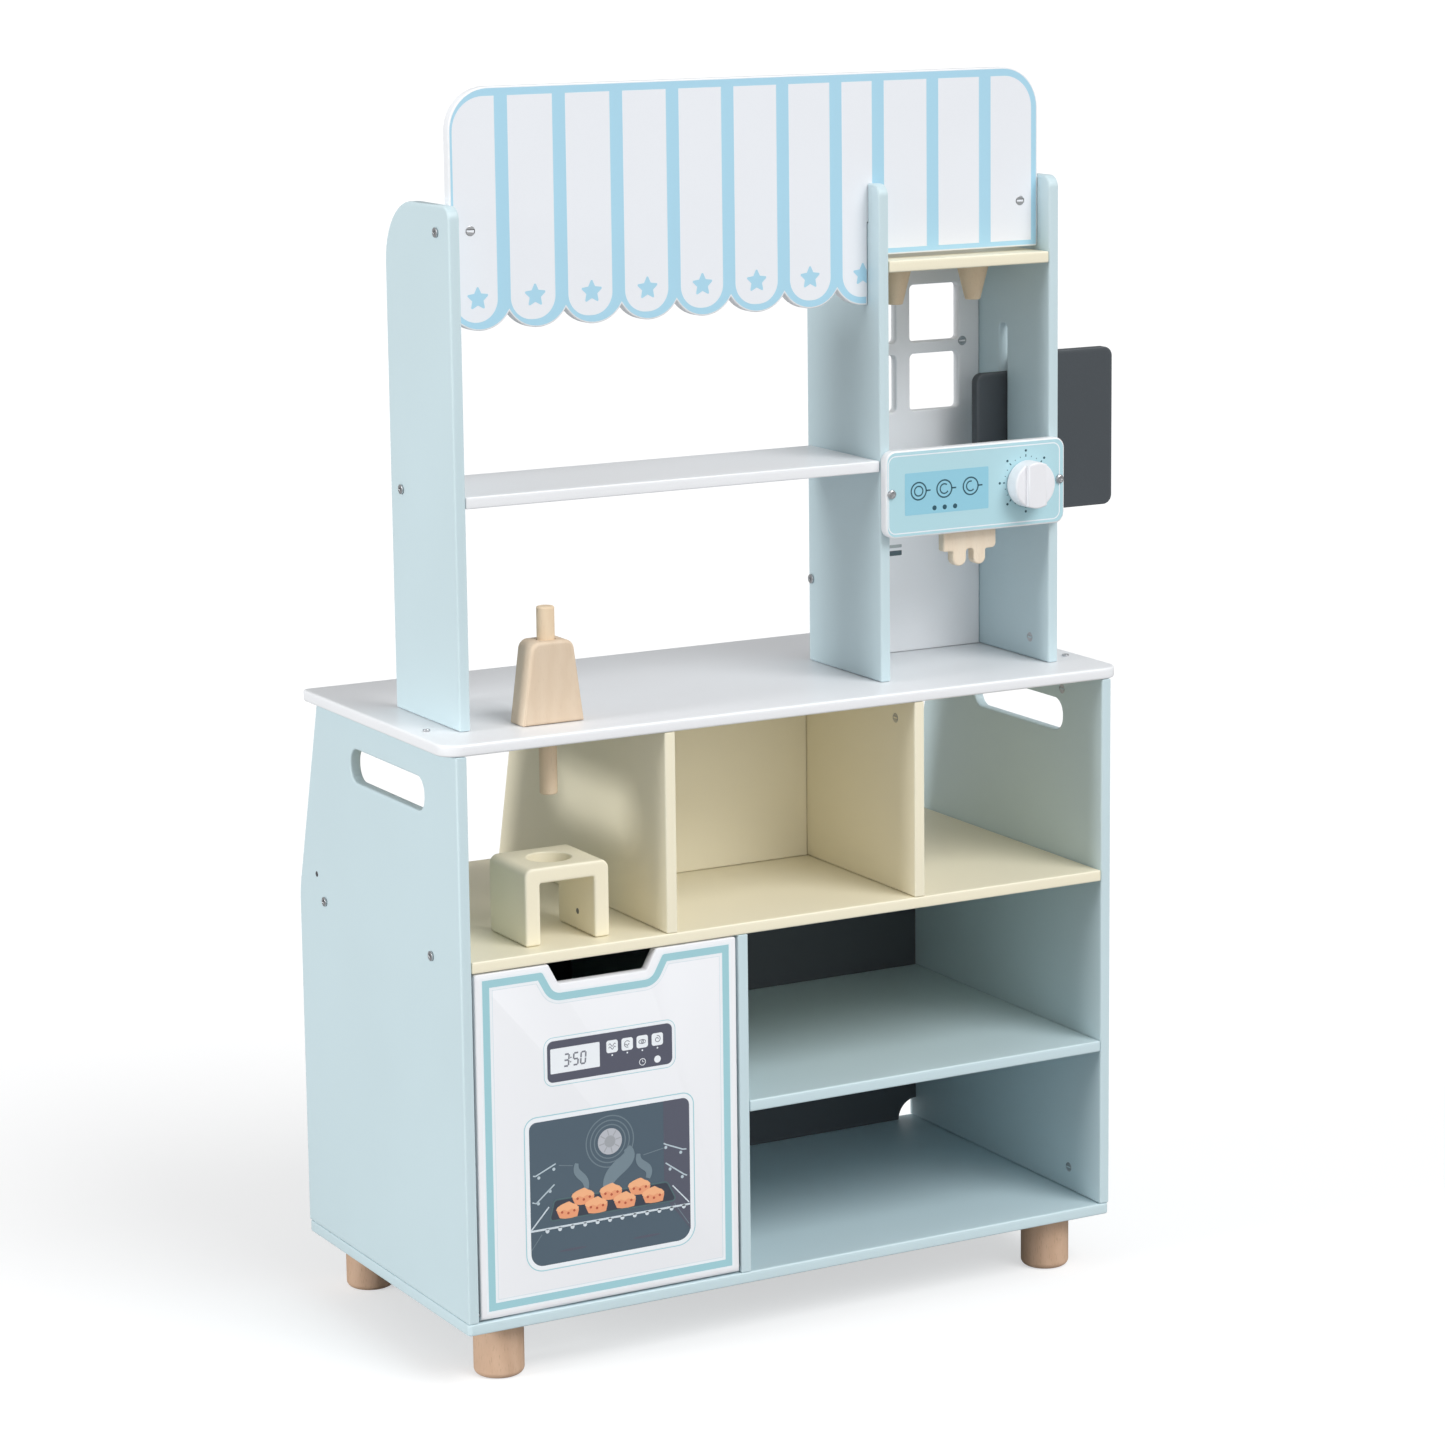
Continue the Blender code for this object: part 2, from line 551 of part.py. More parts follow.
clear_scene()
build_base()
panel_left, oven_divider = build_cabinet()
build_oven(panel_left, oven_divider)
build_counter()
build_upper()
build_coffee()
build_dispenser()
build_menu()
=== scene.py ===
# %% [markdown]
# # A toy kitchen with an ice-cream counter and a coffee counter
# Almost all of it is sawn board, painted and screwed together, so most pieces here are one idea used
# many times: a flat outline carried through a thickness, with its arrises rounded over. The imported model
# gives every size and place. This file gives each piece its finished surface, its paint and its prints.

import json
import math

import bmesh
import bpy
import numpy as np
from mathutils import Matrix, Vector
from mathutils.geometry import tessellate_polygon

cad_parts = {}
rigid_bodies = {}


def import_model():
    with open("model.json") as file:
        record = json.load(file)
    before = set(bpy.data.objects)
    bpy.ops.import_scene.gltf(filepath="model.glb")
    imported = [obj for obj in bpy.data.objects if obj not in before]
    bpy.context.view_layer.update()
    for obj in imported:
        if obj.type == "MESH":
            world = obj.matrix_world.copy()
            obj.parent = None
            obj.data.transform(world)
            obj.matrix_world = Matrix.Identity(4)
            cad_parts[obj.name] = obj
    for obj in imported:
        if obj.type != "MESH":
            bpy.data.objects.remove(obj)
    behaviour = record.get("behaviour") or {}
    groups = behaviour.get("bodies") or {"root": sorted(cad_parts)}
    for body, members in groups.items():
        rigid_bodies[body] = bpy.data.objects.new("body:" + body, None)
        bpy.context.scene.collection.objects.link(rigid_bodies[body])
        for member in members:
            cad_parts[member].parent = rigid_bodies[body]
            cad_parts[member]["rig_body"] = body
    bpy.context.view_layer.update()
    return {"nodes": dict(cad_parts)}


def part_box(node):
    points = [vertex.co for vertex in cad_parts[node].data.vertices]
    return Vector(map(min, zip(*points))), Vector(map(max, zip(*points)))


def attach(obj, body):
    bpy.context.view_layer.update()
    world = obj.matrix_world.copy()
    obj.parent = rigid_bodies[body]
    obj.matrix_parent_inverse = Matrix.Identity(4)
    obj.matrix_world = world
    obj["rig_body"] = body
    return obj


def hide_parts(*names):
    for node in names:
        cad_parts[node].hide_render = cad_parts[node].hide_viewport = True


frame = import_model()
MM = 0.001
nodes = frame["nodes"]

# %% [markdown]
# The camera stands to the front left, a little above the counter, and looks down by ten degrees. Its long
# lens keeps the uprights nearly parallel, as a catalogue picture does. A small shift frames the kitchen
# without turning the camera. It is built from its own right, up and back directions, so a slight roll
# needs no extra step.

# %% Camera
AZIMUTH, ELEVATION, ROLL = (math.radians(a) for a in (-30.017, 10.2231, -0.4131))
back = Vector((math.sin(AZIMUTH) * math.cos(ELEVATION), -math.cos(AZIMUTH) * math.cos(ELEVATION),
               math.sin(ELEVATION)))
right = Vector((math.cos(AZIMUTH), math.sin(AZIMUTH), 0))
up = back.cross(right)
turned_right = right * math.cos(ROLL) + up * math.sin(ROLL)
turned_up = up * math.cos(ROLL) - right * math.sin(ROLL)
lens = bpy.data.cameras.new("camera")
lens.sensor_width = 36.0
lens.lens = 107.82
lens.shift_x, lens.shift_y = -0.075, -0.0692
lens.clip_end = 50
camera = bpy.data.objects.new("camera", lens)
camera.matrix_world = Matrix.Translation((-1.6762, -3.0536, 1.1788)) @ Matrix(
    (turned_right, turned_up, back)).transposed().to_4x4()
bpy.context.scene.collection.objects.link(camera)
bpy.context.scene.camera = camera
print("camera at", [round(c, 3) for c in camera.location])

# %% [markdown]
# ## Outlines
# A joiner marks a board with straight lines and a few radii. An outline here is the same: corners written
# as (u, v, radius), going round anticlockwise. Moving the whole outline inwards is what a rounding-over
# cutter does, so one function gives the outline at any depth with the same number of points each time.

# %% Outlines with rounded corners, moved inwards as needed
ARC_STEP = math.radians(7.5)


def ring(corners, d=0.0, step=ARC_STEP):
    """Closed loop of points (n, 2). Each side moves d to its left, and neighbouring sides meet in a mitre.
    A corner of radius r becomes an arc of radius r less d on a left turn, and r plus d on a right turn,
    with one point for each step of the turn, however far it moves."""
    c = np.asarray(corners, float)
    p, r = c[:, :2], c[:, 2]
    along = np.roll(p, -1, 0) - p
    along /= np.linalg.norm(along, axis=1, keepdims=True)
    a, b = np.roll(along, 1, 0), along
    left_a, left_b = np.stack([-a[:, 1], a[:, 0]], 1), np.stack([-b[:, 1], b[:, 0]], 1)
    dot = (a * b).sum(1)
    turn = np.arctan2(a[:, 0] * b[:, 1] - a[:, 1] * b[:, 0], dot)
    corner = p + d * (left_a + left_b) / (1 + dot)[:, None]
    count = np.where(r > 0, np.maximum(2, np.ceil(np.abs(turn) / step)).astype(int) + 1, 1)
    radius = np.where(r > 0, np.maximum(r - np.sign(turn) * d, 0), 0)
    start = corner - a * (radius * np.tan(np.abs(turn) / 2))[:, None]
    side = np.sign(turn)[:, None]
    centre = start + side * left_a * radius[:, None]
    k = np.repeat(np.arange(len(c)), count)
    first = np.concatenate([[0], np.cumsum(count)[:-1]])
    t = (np.arange(len(k)) - first[k]) / np.maximum(count[k] - 1, 1) * turn[k]
    arm = (start - centre)[k]
    spun = np.stack([arm[:, 0] * np.cos(t) - arm[:, 1] * np.sin(t),
                     arm[:, 0] * np.sin(t) + arm[:, 1] * np.cos(t)], 1)
    return np.where(count[k][:, None] > 1, centre[k] + spun, corner[k])


def rect(u0, u1, v0, v1, r=0.0):
    return [(u0, v0, r), (u1, v0, r), (u1, v1, r), (u0, v1, r)]


def circle(u, v, r, n=32):
    """Corners on a circle, with no radius of their own."""
    a = np.arange(n) * 2 * math.pi / n
    return np.stack([u + r * np.cos(a), v + r * np.sin(a), np.zeros(n)], 1)


def hole(corners):
    """A hole is the same outline walked the other way, so that the board stays on its left."""
    return np.asarray(corners, float)[::-1]


print("a square with rounded corners has", len(ring(rect(0, 1, 0, 1, 0.1))), "points")

# %% [markdown]
# ## Boards
# The side of a routed board is flat, and a quarter round leads from it to each face. A narrow band just
# inside the face is kept as a row of its own. It holds the shading of the round away from the flat, and
# it carries an edge value that runs from 0 on the flat to 1 on the arris, which the paint reads later.

# %% A board as rings of points through its thickness
AXES = {"x": (2, 0, 1), "y": (0, 2, 1), "z": (0, 1, 2)}


def board(axis, loops, t0, t1, edge=1.2 * MM, band=2.2 * MM, steps=4):
    """Shell of a board: (points, polygons, edge value). Row by row its loops move inwards by edge times
    (1 - sin a) while its thickness grows by edge times (1 - cos a), with a from 0 to a right angle."""
    a = np.linspace(0, math.pi / 2, steps + 1) if edge else np.zeros(1)
    # Edge value for the paint's painted highlight on the arris, strongest halfway round the round-over
    value = (0.35 + 0.65 * np.sin(2 * a)) * bool(edge)
    rows = [(edge * (1 - math.sin(x)), edge * (1 - math.cos(x)), e) for x, e in zip(a, value)]
    if edge:
        rows = [(edge + band, 0.0, 0.0), *rows, (0.0, min(edge + band, (t1 - t0) * 0.45), 0.0)]
    rows = [(d, t0 + h, e) for d, h, e in rows] + [(d, t1 - h, e) for d, h, e in rows[::-1]]
    level = [[ring(loop, d) for loop in loops] for d, _, _ in rows]
    sizes = [len(loop) for loop in level[0]]
    n = sum(sizes)
    flat = np.array([np.concatenate(lv) for lv in level])
    depth = np.repeat([t for _, t, _ in rows], n).reshape(len(rows), n, 1)
    points = np.concatenate([flat, depth], 2)[:, :, AXES[axis]].reshape(-1, 3)
    edges = np.repeat([e for _, _, e in rows], n)
    here = np.arange(n)
    starts = np.cumsum([0, *sizes[:-1]])
    after = np.concatenate([np.roll(np.arange(size), -1) + at for size, at in zip(sizes, starts)])
    rise = np.arange(len(rows) - 1)[:, None] * n
    quads = np.stack([here + rise, after + rise, after + rise + n, here + rise + n], 2).reshape(-1, 4)
    caps = []
    for row, bottom in ((0, True), (len(rows) - 1, False)):
        if len(loops) == 1:
            cap = np.arange(n)[None] + row * n
        else:
            flat3 = [[Vector((u, v, 0)) for u, v in loop] for loop in level[row]]
            cap = np.array(tessellate_polygon(flat3))
            q = flat[row][cap]
            spin = np.cross(q[:, 1] - q[:, 0], q[:, 2] - q[:, 0])
            cap = np.where((spin < 0)[:, None], cap[:, ::-1], cap) + row * n
        caps.append(cap[:, ::-1] if bottom else cap)
    polygons = [quads, *caps]
    if axis == "y":
        polygons = [p[:, ::-1] for p in polygons]
    return points, polygons, edges


def lathe(axis, centre, profile, segments=64):
    """Shell turned on an axis. profile holds corners (radius, along, corner radius) that start and end on
    the axis; each point of it goes round a circle: centre plus radius times (cos a, sin a)."""
    path = ring(profile)
    path = path[np.linalg.norm(path - np.roll(path, 1, 0), axis=1) > 1e-7]
    a = np.arange(segments) * 2 * math.pi / segments
    u = centre[0] + path[:, :1] * np.cos(a)
    v = centre[1] + path[:, :1] * np.sin(a)
    points = np.stack([u, v, np.repeat(path[:, 1:], segments, 1)], 2)[:, :, AXES[axis]].reshape(-1, 3)
    i = np.arange(len(path) - 1)[:, None] * segments
    j, k = np.arange(segments), np.roll(np.arange(segments), -1)
    quads = np.stack([j + i, k + i, k + i + segments, j + i + segments], 2).reshape(-1, 4)
    return points, [quads], np.zeros(len(points))


# %% [markdown]
# Blender wants one list of polygons, so several shells are joined end to end before they become a mesh.
# Corners sharper than forty degrees stay crisp, and all softer ones are shaded smooth.

# %% Shells into a finished object
SHARP = math.radians(40)
made = []


def finish_piece(name, shells, material, body, *replaced):
    """Joins shells into one mesh, closes its poles, and puts it on its body."""
    at, points, polygons, edges = 0, [], [], []
    for p, polys, e in shells:
        points.append(p)
        edges.append(e)
        polygons += [q + at for q in polys]
        at += len(p)
    sizes = np.concatenate([np.full(len(q), q.shape[1]) for q in polygons])
    corners = np.concatenate([q.ravel() for q in polygons])
    mesh = bpy.data.meshes.new(name)
    mesh.vertices.add(at)
    mesh.vertices.foreach_set("co", np.concatenate(points).astype(np.float32).ravel())
    mesh.loops.add(len(corners))
    mesh.loops.foreach_set("vertex_index", corners.astype(np.int32))
    mesh.polygons.add(len(sizes))
    mesh.polygons.foreach_set("loop_start", np.concatenate([[0], np.cumsum(sizes)[:-1]]).astype(np.int32))
    mesh.update(calc_edges=True)
    # The edge value lets the paint lay a painted highlight on each arris
    arris_highlight_mask = mesh.attributes.new("edge", "FLOAT", "POINT")
    arris_highlight_mask.data.foreach_set("value", np.concatenate(edges).astype(np.float32))
    return dress(name, mesh, material, body, *replaced)


def dress(name, mesh, material, body, *replaced):
    """Closes coincident points, faces the mesh outwards, shades it, and puts it on its body."""
    bm = bmesh.new()
    bm.from_mesh(mesh)
    bmesh.ops.remove_doubles(bm, verts=bm.verts, dist=2e-6)
    bmesh.ops.recalc_face_normals(bm, faces=bm.faces)
    bm.to_mesh(mesh)
    bm.free()
    mesh.shade_smooth()
    mesh.set_sharp_from_angle(angle=SHARP)
    piece = bpy.data.objects.new(name, mesh)
    bpy.context.scene.collection.objects.link(piece)
    mesh.materials.append(material)
    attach(piece, body)
    if replaced:
        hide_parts(*replaced)
    made.append(piece)
    return piece


def smooth_copy(name, node, material, body):
    """The node's own shape, with its loose triangles merged so that it can be shaded smooth."""
    return dress(name, nodes[node].data.copy(), material, body, node)


# %% [markdown]
# ## Finishes
# Two node groups carry what several finishes share. Each reads object coordinates, which every piece
# has in metres. Paint on fibreboard has a faint orange peel from the spray, a slow drift of tone, and a
# painted highlight that lightens its arris. Wood has long fibres along one direction, and the steel has
# turning marks. They put out only colours, roughness values and heights.

# %% A small kit for node groups
def new_group(name, inputs, outputs):
    group = bpy.data.node_groups.new(name, "ShaderNodeTree")
    for socket, kind, value in inputs:
        item = group.interface.new_socket(socket, in_out="INPUT", socket_type=kind)
        item.default_value = value
    for socket, kind in outputs:
        group.interface.new_socket(socket, in_out="OUTPUT", socket_type=kind)
    return group, group.nodes.new("NodeGroupInput"), group.nodes.new("NodeGroupOutput")


def add(tree, kind, links=(), **values):
    """A node with its properties set and its inputs linked or given, by name or number."""
    node = tree.nodes.new(kind)
    for key, value in values.items():
        setattr(node, key, value)
    for key, value in dict(links).items():
        if isinstance(value, bpy.types.NodeSocket):
            tree.links.new(value, node.inputs[key])
        else:
            node.inputs[key].default_value = value
    return node


def maths(tree, operation, a, b=0.0, c=0.0):
    return add(tree, "ShaderNodeMath", {0: a, 1: b, 2: c}, operation=operation).outputs[0]


def tint(tree, factor, a, b, blend="MIX"):
    node = add(tree, "ShaderNodeMix", data_type="RGBA", blend_type=blend)
    for socket, value in ((node.inputs[0], factor), (node.inputs[6], a), (node.inputs[7], b)):
        if isinstance(value, bpy.types.NodeSocket):
            tree.links.new(value, socket)
        else:
            socket.default_value = value
    return node.outputs[2]


def object_space(tree, scale=(1, 1, 1)):
    place = add(tree, "ShaderNodeTexCoord").outputs["Object"]
    return add(tree, "ShaderNodeMapping", {"Vector": place, "Scale": scale}).outputs[0]


def noise(tree, vector, scale, detail=2.0, rough=0.5):
    return add(tree, "ShaderNodeTexNoise", {"Vector": vector, "Scale": scale, "Detail": detail,
                                            "Roughness": rough}).outputs[0]


# %% Sprayed paint: drift, orange peel and a painted highlight on the arris
paint_group, g_in, g_out = new_group(
    "sprayed_paint",
    [("Color", "NodeSocketColor", (0.5, 0.5, 0.5, 1)), ("Drift", "NodeSocketFloat", 0.05),
     ("Edge Highlight", "NodeSocketFloat", 0.1), ("Roughness", "NodeSocketFloat", 0.4)],
    [("Color", "NodeSocketColor"), ("Roughness", "NodeSocketFloat"), ("Height", "NodeSocketFloat")],
)
tree = paint_group
space = object_space(tree)
slow = noise(tree, space, 7.0, 3.0, 0.55)
peel = noise(tree, space, 620.0, 2.0, 0.5)
fine = noise(tree, space, 2600.0, 1.0, 0.5)
arris = add(tree, "ShaderNodeAttribute", attribute_name="edge").outputs["Fac"]
# Painted highlight mask: the arris edge value, broken up by noise; it also roughens the arris a little
arris_highlight_mask = maths(tree, "MULTIPLY", arris, maths(tree, "MULTIPLY_ADD", noise(tree, space, 45.0, 3.0), 0.9, 0.35))
tone = maths(tree, "MULTIPLY_ADD", maths(tree, "SUBTRACT", slow, 0.5), g_in.outputs["Drift"], 1.0)
speck = maths(tree, "MULTIPLY_ADD", maths(tree, "SUBTRACT", peel, 0.5), 0.02, tone)
shade = add(tree, "ShaderNodeCombineColor", {0: speck, 1: speck, 2: speck}).outputs[0]
base = tint(tree, 1.0, g_in.outputs["Color"], shade, "MULTIPLY")
# Painted highlight: the arris colour is mixed towards near-white
highlighted_colour = tint(tree, maths(tree, "MULTIPLY", arris_highlight_mask, g_in.outputs["Edge Highlight"]), base, (0.95, 0.96, 0.97, 1))
tree.links.new(highlighted_colour, g_out.inputs["Color"])
gloss = maths(tree, "MULTIPLY_ADD", maths(tree, "SUBTRACT", slow, 0.5), 0.16, g_in.outputs["Roughness"])
gloss = maths(tree, "MULTIPLY_ADD", maths(tree, "SUBTRACT", peel, 0.5), 0.08, gloss)
tree.links.new(maths(tree, "MULTIPLY_ADD", arris_highlight_mask, 0.06, gloss), g_out.inputs["Roughness"])
tree.links.new(maths(tree, "MULTIPLY_ADD", fine, 0.25, peel), g_out.inputs["Height"])
print("group", paint_group.name)

# %% Wood: slow figure, long fibres and pores along the grain
wood_group, g_in, g_out = new_group(
    "plain_wood",
    [("Light", "NodeSocketColor", (0.8, 0.6, 0.4, 1)), ("Dark", "NodeSocketColor", (0.6, 0.4, 0.25, 1)),
     ("Vector", "NodeSocketVector", (0, 0, 0)), ("Pores", "NodeSocketFloat", 0.3),
     ("Roughness", "NodeSocketFloat", 0.5)],
    [("Color", "NodeSocketColor"), ("Roughness", "NodeSocketFloat"), ("Height", "NodeSocketFloat")],
)
tree = wood_group
space = g_in.outputs["Vector"]
bend = noise(tree, space, 9.0, 2.0)
growth = {"Vector": space, "Scale": 26.0, "Distortion": 5.0, "Detail": 2.0, "Detail Scale": 1.4}
rings = add(tree, "ShaderNodeTexWave", growth, wave_type="RINGS", rings_direction="Z").outputs[0]
long_way = add(tree, "ShaderNodeMapping", {"Vector": space, "Scale": (1, 1, 0.05)}).outputs[0]
fibre = noise(tree, long_way, 900.0, 3.0)
short_way = add(tree, "ShaderNodeMapping", {"Vector": space, "Scale": (1, 1, 0.12)}).outputs[0]
pore = noise(tree, short_way, 1500.0, 1.0)
figure = maths(tree, "MULTIPLY_ADD", rings, 0.4, maths(tree, "MULTIPLY_ADD", bend, 0.35, maths(
    tree, "MULTIPLY", fibre, 0.4)))
pit = maths(tree, "MULTIPLY", add(tree, "ShaderNodeMapRange", {0: pore, 1: 0.62, 2: 0.72}).outputs[0],
            g_in.outputs["Pores"])
base = tint(tree, figure, g_in.outputs["Light"], g_in.outputs["Dark"])
tree.links.new(tint(tree, pit, base, (0.25, 0.15, 0.08, 1)), g_out.inputs["Color"])
tree.links.new(maths(tree, "MULTIPLY_ADD", fibre, 0.14, g_in.outputs["Roughness"]), g_out.inputs["Roughness"])
tree.links.new(maths(tree, "SUBTRACT", fibre, pit), g_out.inputs["Height"])
print("group", wood_group.name)

# %% Materials: the shader stays outside the groups
def new_material(name):
    mat = bpy.data.materials.new(name)
    mat.use_nodes = True
    return mat, mat.node_tree, mat.node_tree.nodes["Principled BSDF"]


def bump(tree, shader, height, strength, distance):
    node = add(tree, "ShaderNodeBump", {"Height": height, "Strength": strength, "Distance": distance})
    tree.links.new(node.outputs[0], shader.inputs["Normal"])


def paint(name, colour, drift=0.05, edge_highlight=0.1, rough=0.42, peel=0.12, coat=0.0):
    mat, tree, shader = new_material(name)
    group = add(tree, "ShaderNodeGroup", node_tree=paint_group)
    group.inputs["Color"].default_value = (*colour, 1)
    group.inputs["Drift"].default_value = drift
    group.inputs["Edge Highlight"].default_value = edge_highlight
    group.inputs["Roughness"].default_value = rough
    tree.links.new(group.outputs["Color"], shader.inputs["Base Color"])
    tree.links.new(group.outputs["Roughness"], shader.inputs["Roughness"])
    bump(tree, shader, group.outputs["Height"], peel, 0.0003)
    shader.inputs["Coat Weight"].default_value = coat
    shader.inputs["Coat Roughness"].default_value = 0.25
    return mat


def wood(name, light, dark, turn=(0, 0, 0), pores=0.3, rough=0.5):
    mat, tree, shader = new_material(name)
    place = add(tree, "ShaderNodeTexCoord").outputs["Object"]
    spun = add(tree, "ShaderNodeMapping", {"Vector": place, "Rotation": turn}).outputs[0]
    group = add(tree, "ShaderNodeGroup", {}, node_tree=wood_group)
    tree.links.new(spun, group.inputs["Vector"])
    group.inputs["Light"].default_value = (*light, 1)
    group.inputs["Dark"].default_value = (*dark, 1)
    group.inputs["Pores"].default_value = pores
    group.inputs["Roughness"].default_value = rough
    tree.links.new(group.outputs["Color"], shader.inputs["Base Color"])
    tree.links.new(group.outputs["Roughness"], shader.inputs["Roughness"])
    bump(tree, shader, group.outputs["Height"], 0.25, 0.0002)
    return mat


def steel(name, colour, rough=0.3):
    mat, tree, shader = new_material(name)
    space = object_space(tree)
    marks = noise(tree, space, 2400.0, 3.0)
    cloud = noise(tree, space, 160.0, 2.0)
    darker = tuple(c * 0.72 for c in colour)
    tree.links.new(tint(tree, cloud, (*colour, 1), (*darker, 1)), shader.inputs["Base Color"])
    tree.links.new(maths(tree, "MULTIPLY_ADD", marks, 0.25, rough - 0.12), shader.inputs["Roughness"])
    shader.inputs["Metallic"].default_value = 1.0
    bump(tree, shader, marks, 0.1, 0.0001)
    return mat


# The value after the drift in each call is the strength of that paint's painted arris highlight
blue = paint("blue_paint", (0.585, 0.725, 0.77), 0.05, 0.06)
white = paint("white_paint", (0.86, 0.875, 0.90), 0.03, 0.2, 0.34)
# Painted shade: the board white made darker for the door, whose front is lit more strongly than the other
# white boards
door_white_shaded = paint("door_painted_shade_white", (0.745, 0.76, 0.79), 0.03, 0.2, 0.36)
cream = paint("cream_paint", (0.90, 0.84, 0.65), 0.04, 0.1)
slate = paint("chalkboard_paint", (0.055, 0.065, 0.075), 0.2, 0.05, 0.62, 0.3)
black = paint("moulded_black", (0.03, 0.031, 0.034), 0.1, 0.05, 0.5)
beech = wood("beech", (0.66, 0.455, 0.32), (0.57, 0.375, 0.25), pores=0.3)
raw_upright = wood("raw_wood", (0.84, 0.68, 0.49), (0.77, 0.59, 0.40), pores=0.12, rough=0.55)
raw_pale = wood("raw_wood_pale", (0.735, 0.60, 0.455), (0.68, 0.535, 0.39), pores=0.08, rough=0.5)
raw_spout = wood("raw_wood_spout", (0.88, 0.77, 0.62), (0.83, 0.70, 0.54), pores=0.1, rough=0.55)
zinc = steel("zinc_steel", (0.62, 0.63, 0.65))
dark_zinc = steel("zinc_recess", (0.22, 0.225, 0.24), 0.45)
print("materials", len(bpy.data.materials))

# %% [markdown]
# ## Plain boards
# Shelves and dividers are plain rectangles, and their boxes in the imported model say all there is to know.
# The thinnest side of each box is the board's thickness.

# %% Rectangular boards straight from their boxes
PLAIN = {
    "lower_divider": blue, "lower_shelf": blue, "upper_shelf": white,
    "long_shelf": cream, "top_shelf": cream, "cubby_back": cream,
}


def across(node):
    """Axis of the board's thickness, and its box as three (low, high) pairs."""
    lo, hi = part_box(node)
    sides = [(lo[i], hi[i]) for i in range(3)]
    axis = min(range(3), key=lambda i: sides[i][1] - sides[i][0])
    return "xyz"[axis], sides


def plane(axis, sides):
    """The two (low, high) pairs that span the board, in the outline's order."""
    return {"x": (sides[1], sides[2]), "y": (sides[0], sides[2]), "z": (sides[0], sides[1])}[axis]


def plain(node, material, corner=0.8 * MM, holes=(), edge=1.2 * MM):
    axis, sides = across(node)
    (u0, u1), (v0, v1) = plane(axis, sides)
    t0, t1 = sides["xyz".index(axis)]
    shell = board(axis, [rect(u0, u1, v0, v1, corner), *map(hole, holes)], t0, t1, edge)
    body = nodes[node]["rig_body"]
    return finish_piece(node + "_painted", [shell], material, body, node)


for node, material in PLAIN.items():
    plain(node, material)
print("plain boards", len(PLAIN))

# %% [markdown]
# The base board, countertop and coffee panel are rectangles too, with larger corners. The countertop has
# softer front corners than back ones, and a bore for the dispenser's rod. The bay's back has four square
# windows, which are cut with their own small radii.

# %% Base, countertop, coffee panel and windowed back
rod_lo, rod_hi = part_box("plunger")
ROD = ((rod_lo.x + rod_hi.x) / 2, (rod_lo.y + rod_hi.y) / 2)
ROD_BORE = 7.4 * MM
lo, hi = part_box("base_board")
finish_piece("base_board_painted", [board("z", [rect(lo.x, hi.x, lo.y, hi.y, 4 * MM)], lo.z, hi.z)],
             blue, "cabinet", "base_board")
lo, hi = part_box("countertop")
SOFT, TIGHT = 17 * MM, 6 * MM
counter = [(lo.x, lo.y, SOFT), (hi.x, lo.y, SOFT), (hi.x, hi.y, TIGHT), (lo.x, hi.y, TIGHT)]
shell = board("z", [counter, hole(circle(*ROD, ROD_BORE))], lo.z, hi.z, 1.8 * MM)
finish_piece("countertop_painted", [shell], white, "cabinet", "countertop")
print("countertop at", round(hi.z, 4))
fascia_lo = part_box("coffee_fascia")[0]
knob_lo, knob_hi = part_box("coffee_knob")
NX, NZ = (knob_lo.x + knob_hi.x) / 2, (knob_lo.z + knob_hi.z) / 2
SHAFT_BORE = 3.3 * MM
plain("coffee_fascia", white, 9 * MM, [circle(NX, NZ, SHAFT_BORE)], 1.6 * MM)
lo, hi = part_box("bay_back")
WINDOW = 47.3 * MM
FIRST_X, NEXT_X, FIRST_Z, NEXT_Z = 22.6 * MM, 60.5 * MM, 202.05 * MM, 57.2 * MM
windows = [rect(x, x + WINDOW, z, z + WINDOW, 4 * MM)
           for x in (lo.x + FIRST_X, lo.x + FIRST_X + NEXT_X)
           for z in (lo.z + FIRST_Z, lo.z + FIRST_Z + NEXT_Z)]
plain("bay_back", white, holes=windows)
print("windows", len(windows))

# %% [markdown]
# ## Shaped boards
# The side panels lean in behind the counter, and a slot makes each a handle. The dividers of the cubbies
# follow the same slope. The uprights have a large round at the back of the top, and the middle one is
# notched there to take the awning. The right one has a tall slot for the menu board.

# %% Side panels and cubby dividers
SLOPE_R = 60 * MM
GRIP = (59.5 * MM, 198.0 * MM, 393.1 * MM, 420.1 * MM)
for node in ("side_panel_left", "side_panel_right"):
    lo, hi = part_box(node)
    top_back = lo.y + 262.5 * MM
    knee = lo.z + 282.6 * MM
    outline = [(lo.y, lo.z, 0.8 * MM), (hi.y, lo.z, 0.8 * MM), (hi.y, knee, SLOPE_R),
               (top_back, hi.z, 0.8 * MM), (lo.y, hi.z, 0.8 * MM)]
    y0, y1, z0, z1 = GRIP
    grip = rect(lo.y + y0, lo.y + y1, lo.z + z0, lo.z + z1, 12.4 * MM)
    finish_piece(node + "_painted", [board("x", [outline, hole(grip)], lo.x, hi.x, 1.5 * MM)],
                 blue, "cabinet", node)
for node in ("cubby_divider_left", "cubby_divider_right"):
    lo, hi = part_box(node)
    outline = [(lo.y, lo.z, 0.8 * MM), (hi.y, lo.z, 0.8 * MM), (lo.y + 262.3 * MM, hi.z, 0.8 * MM),
               (lo.y, hi.z, 0.8 * MM)]
    finish_piece(node + "_painted", [board("x", [outline], lo.x, hi.x)], cream, "cabinet", node)

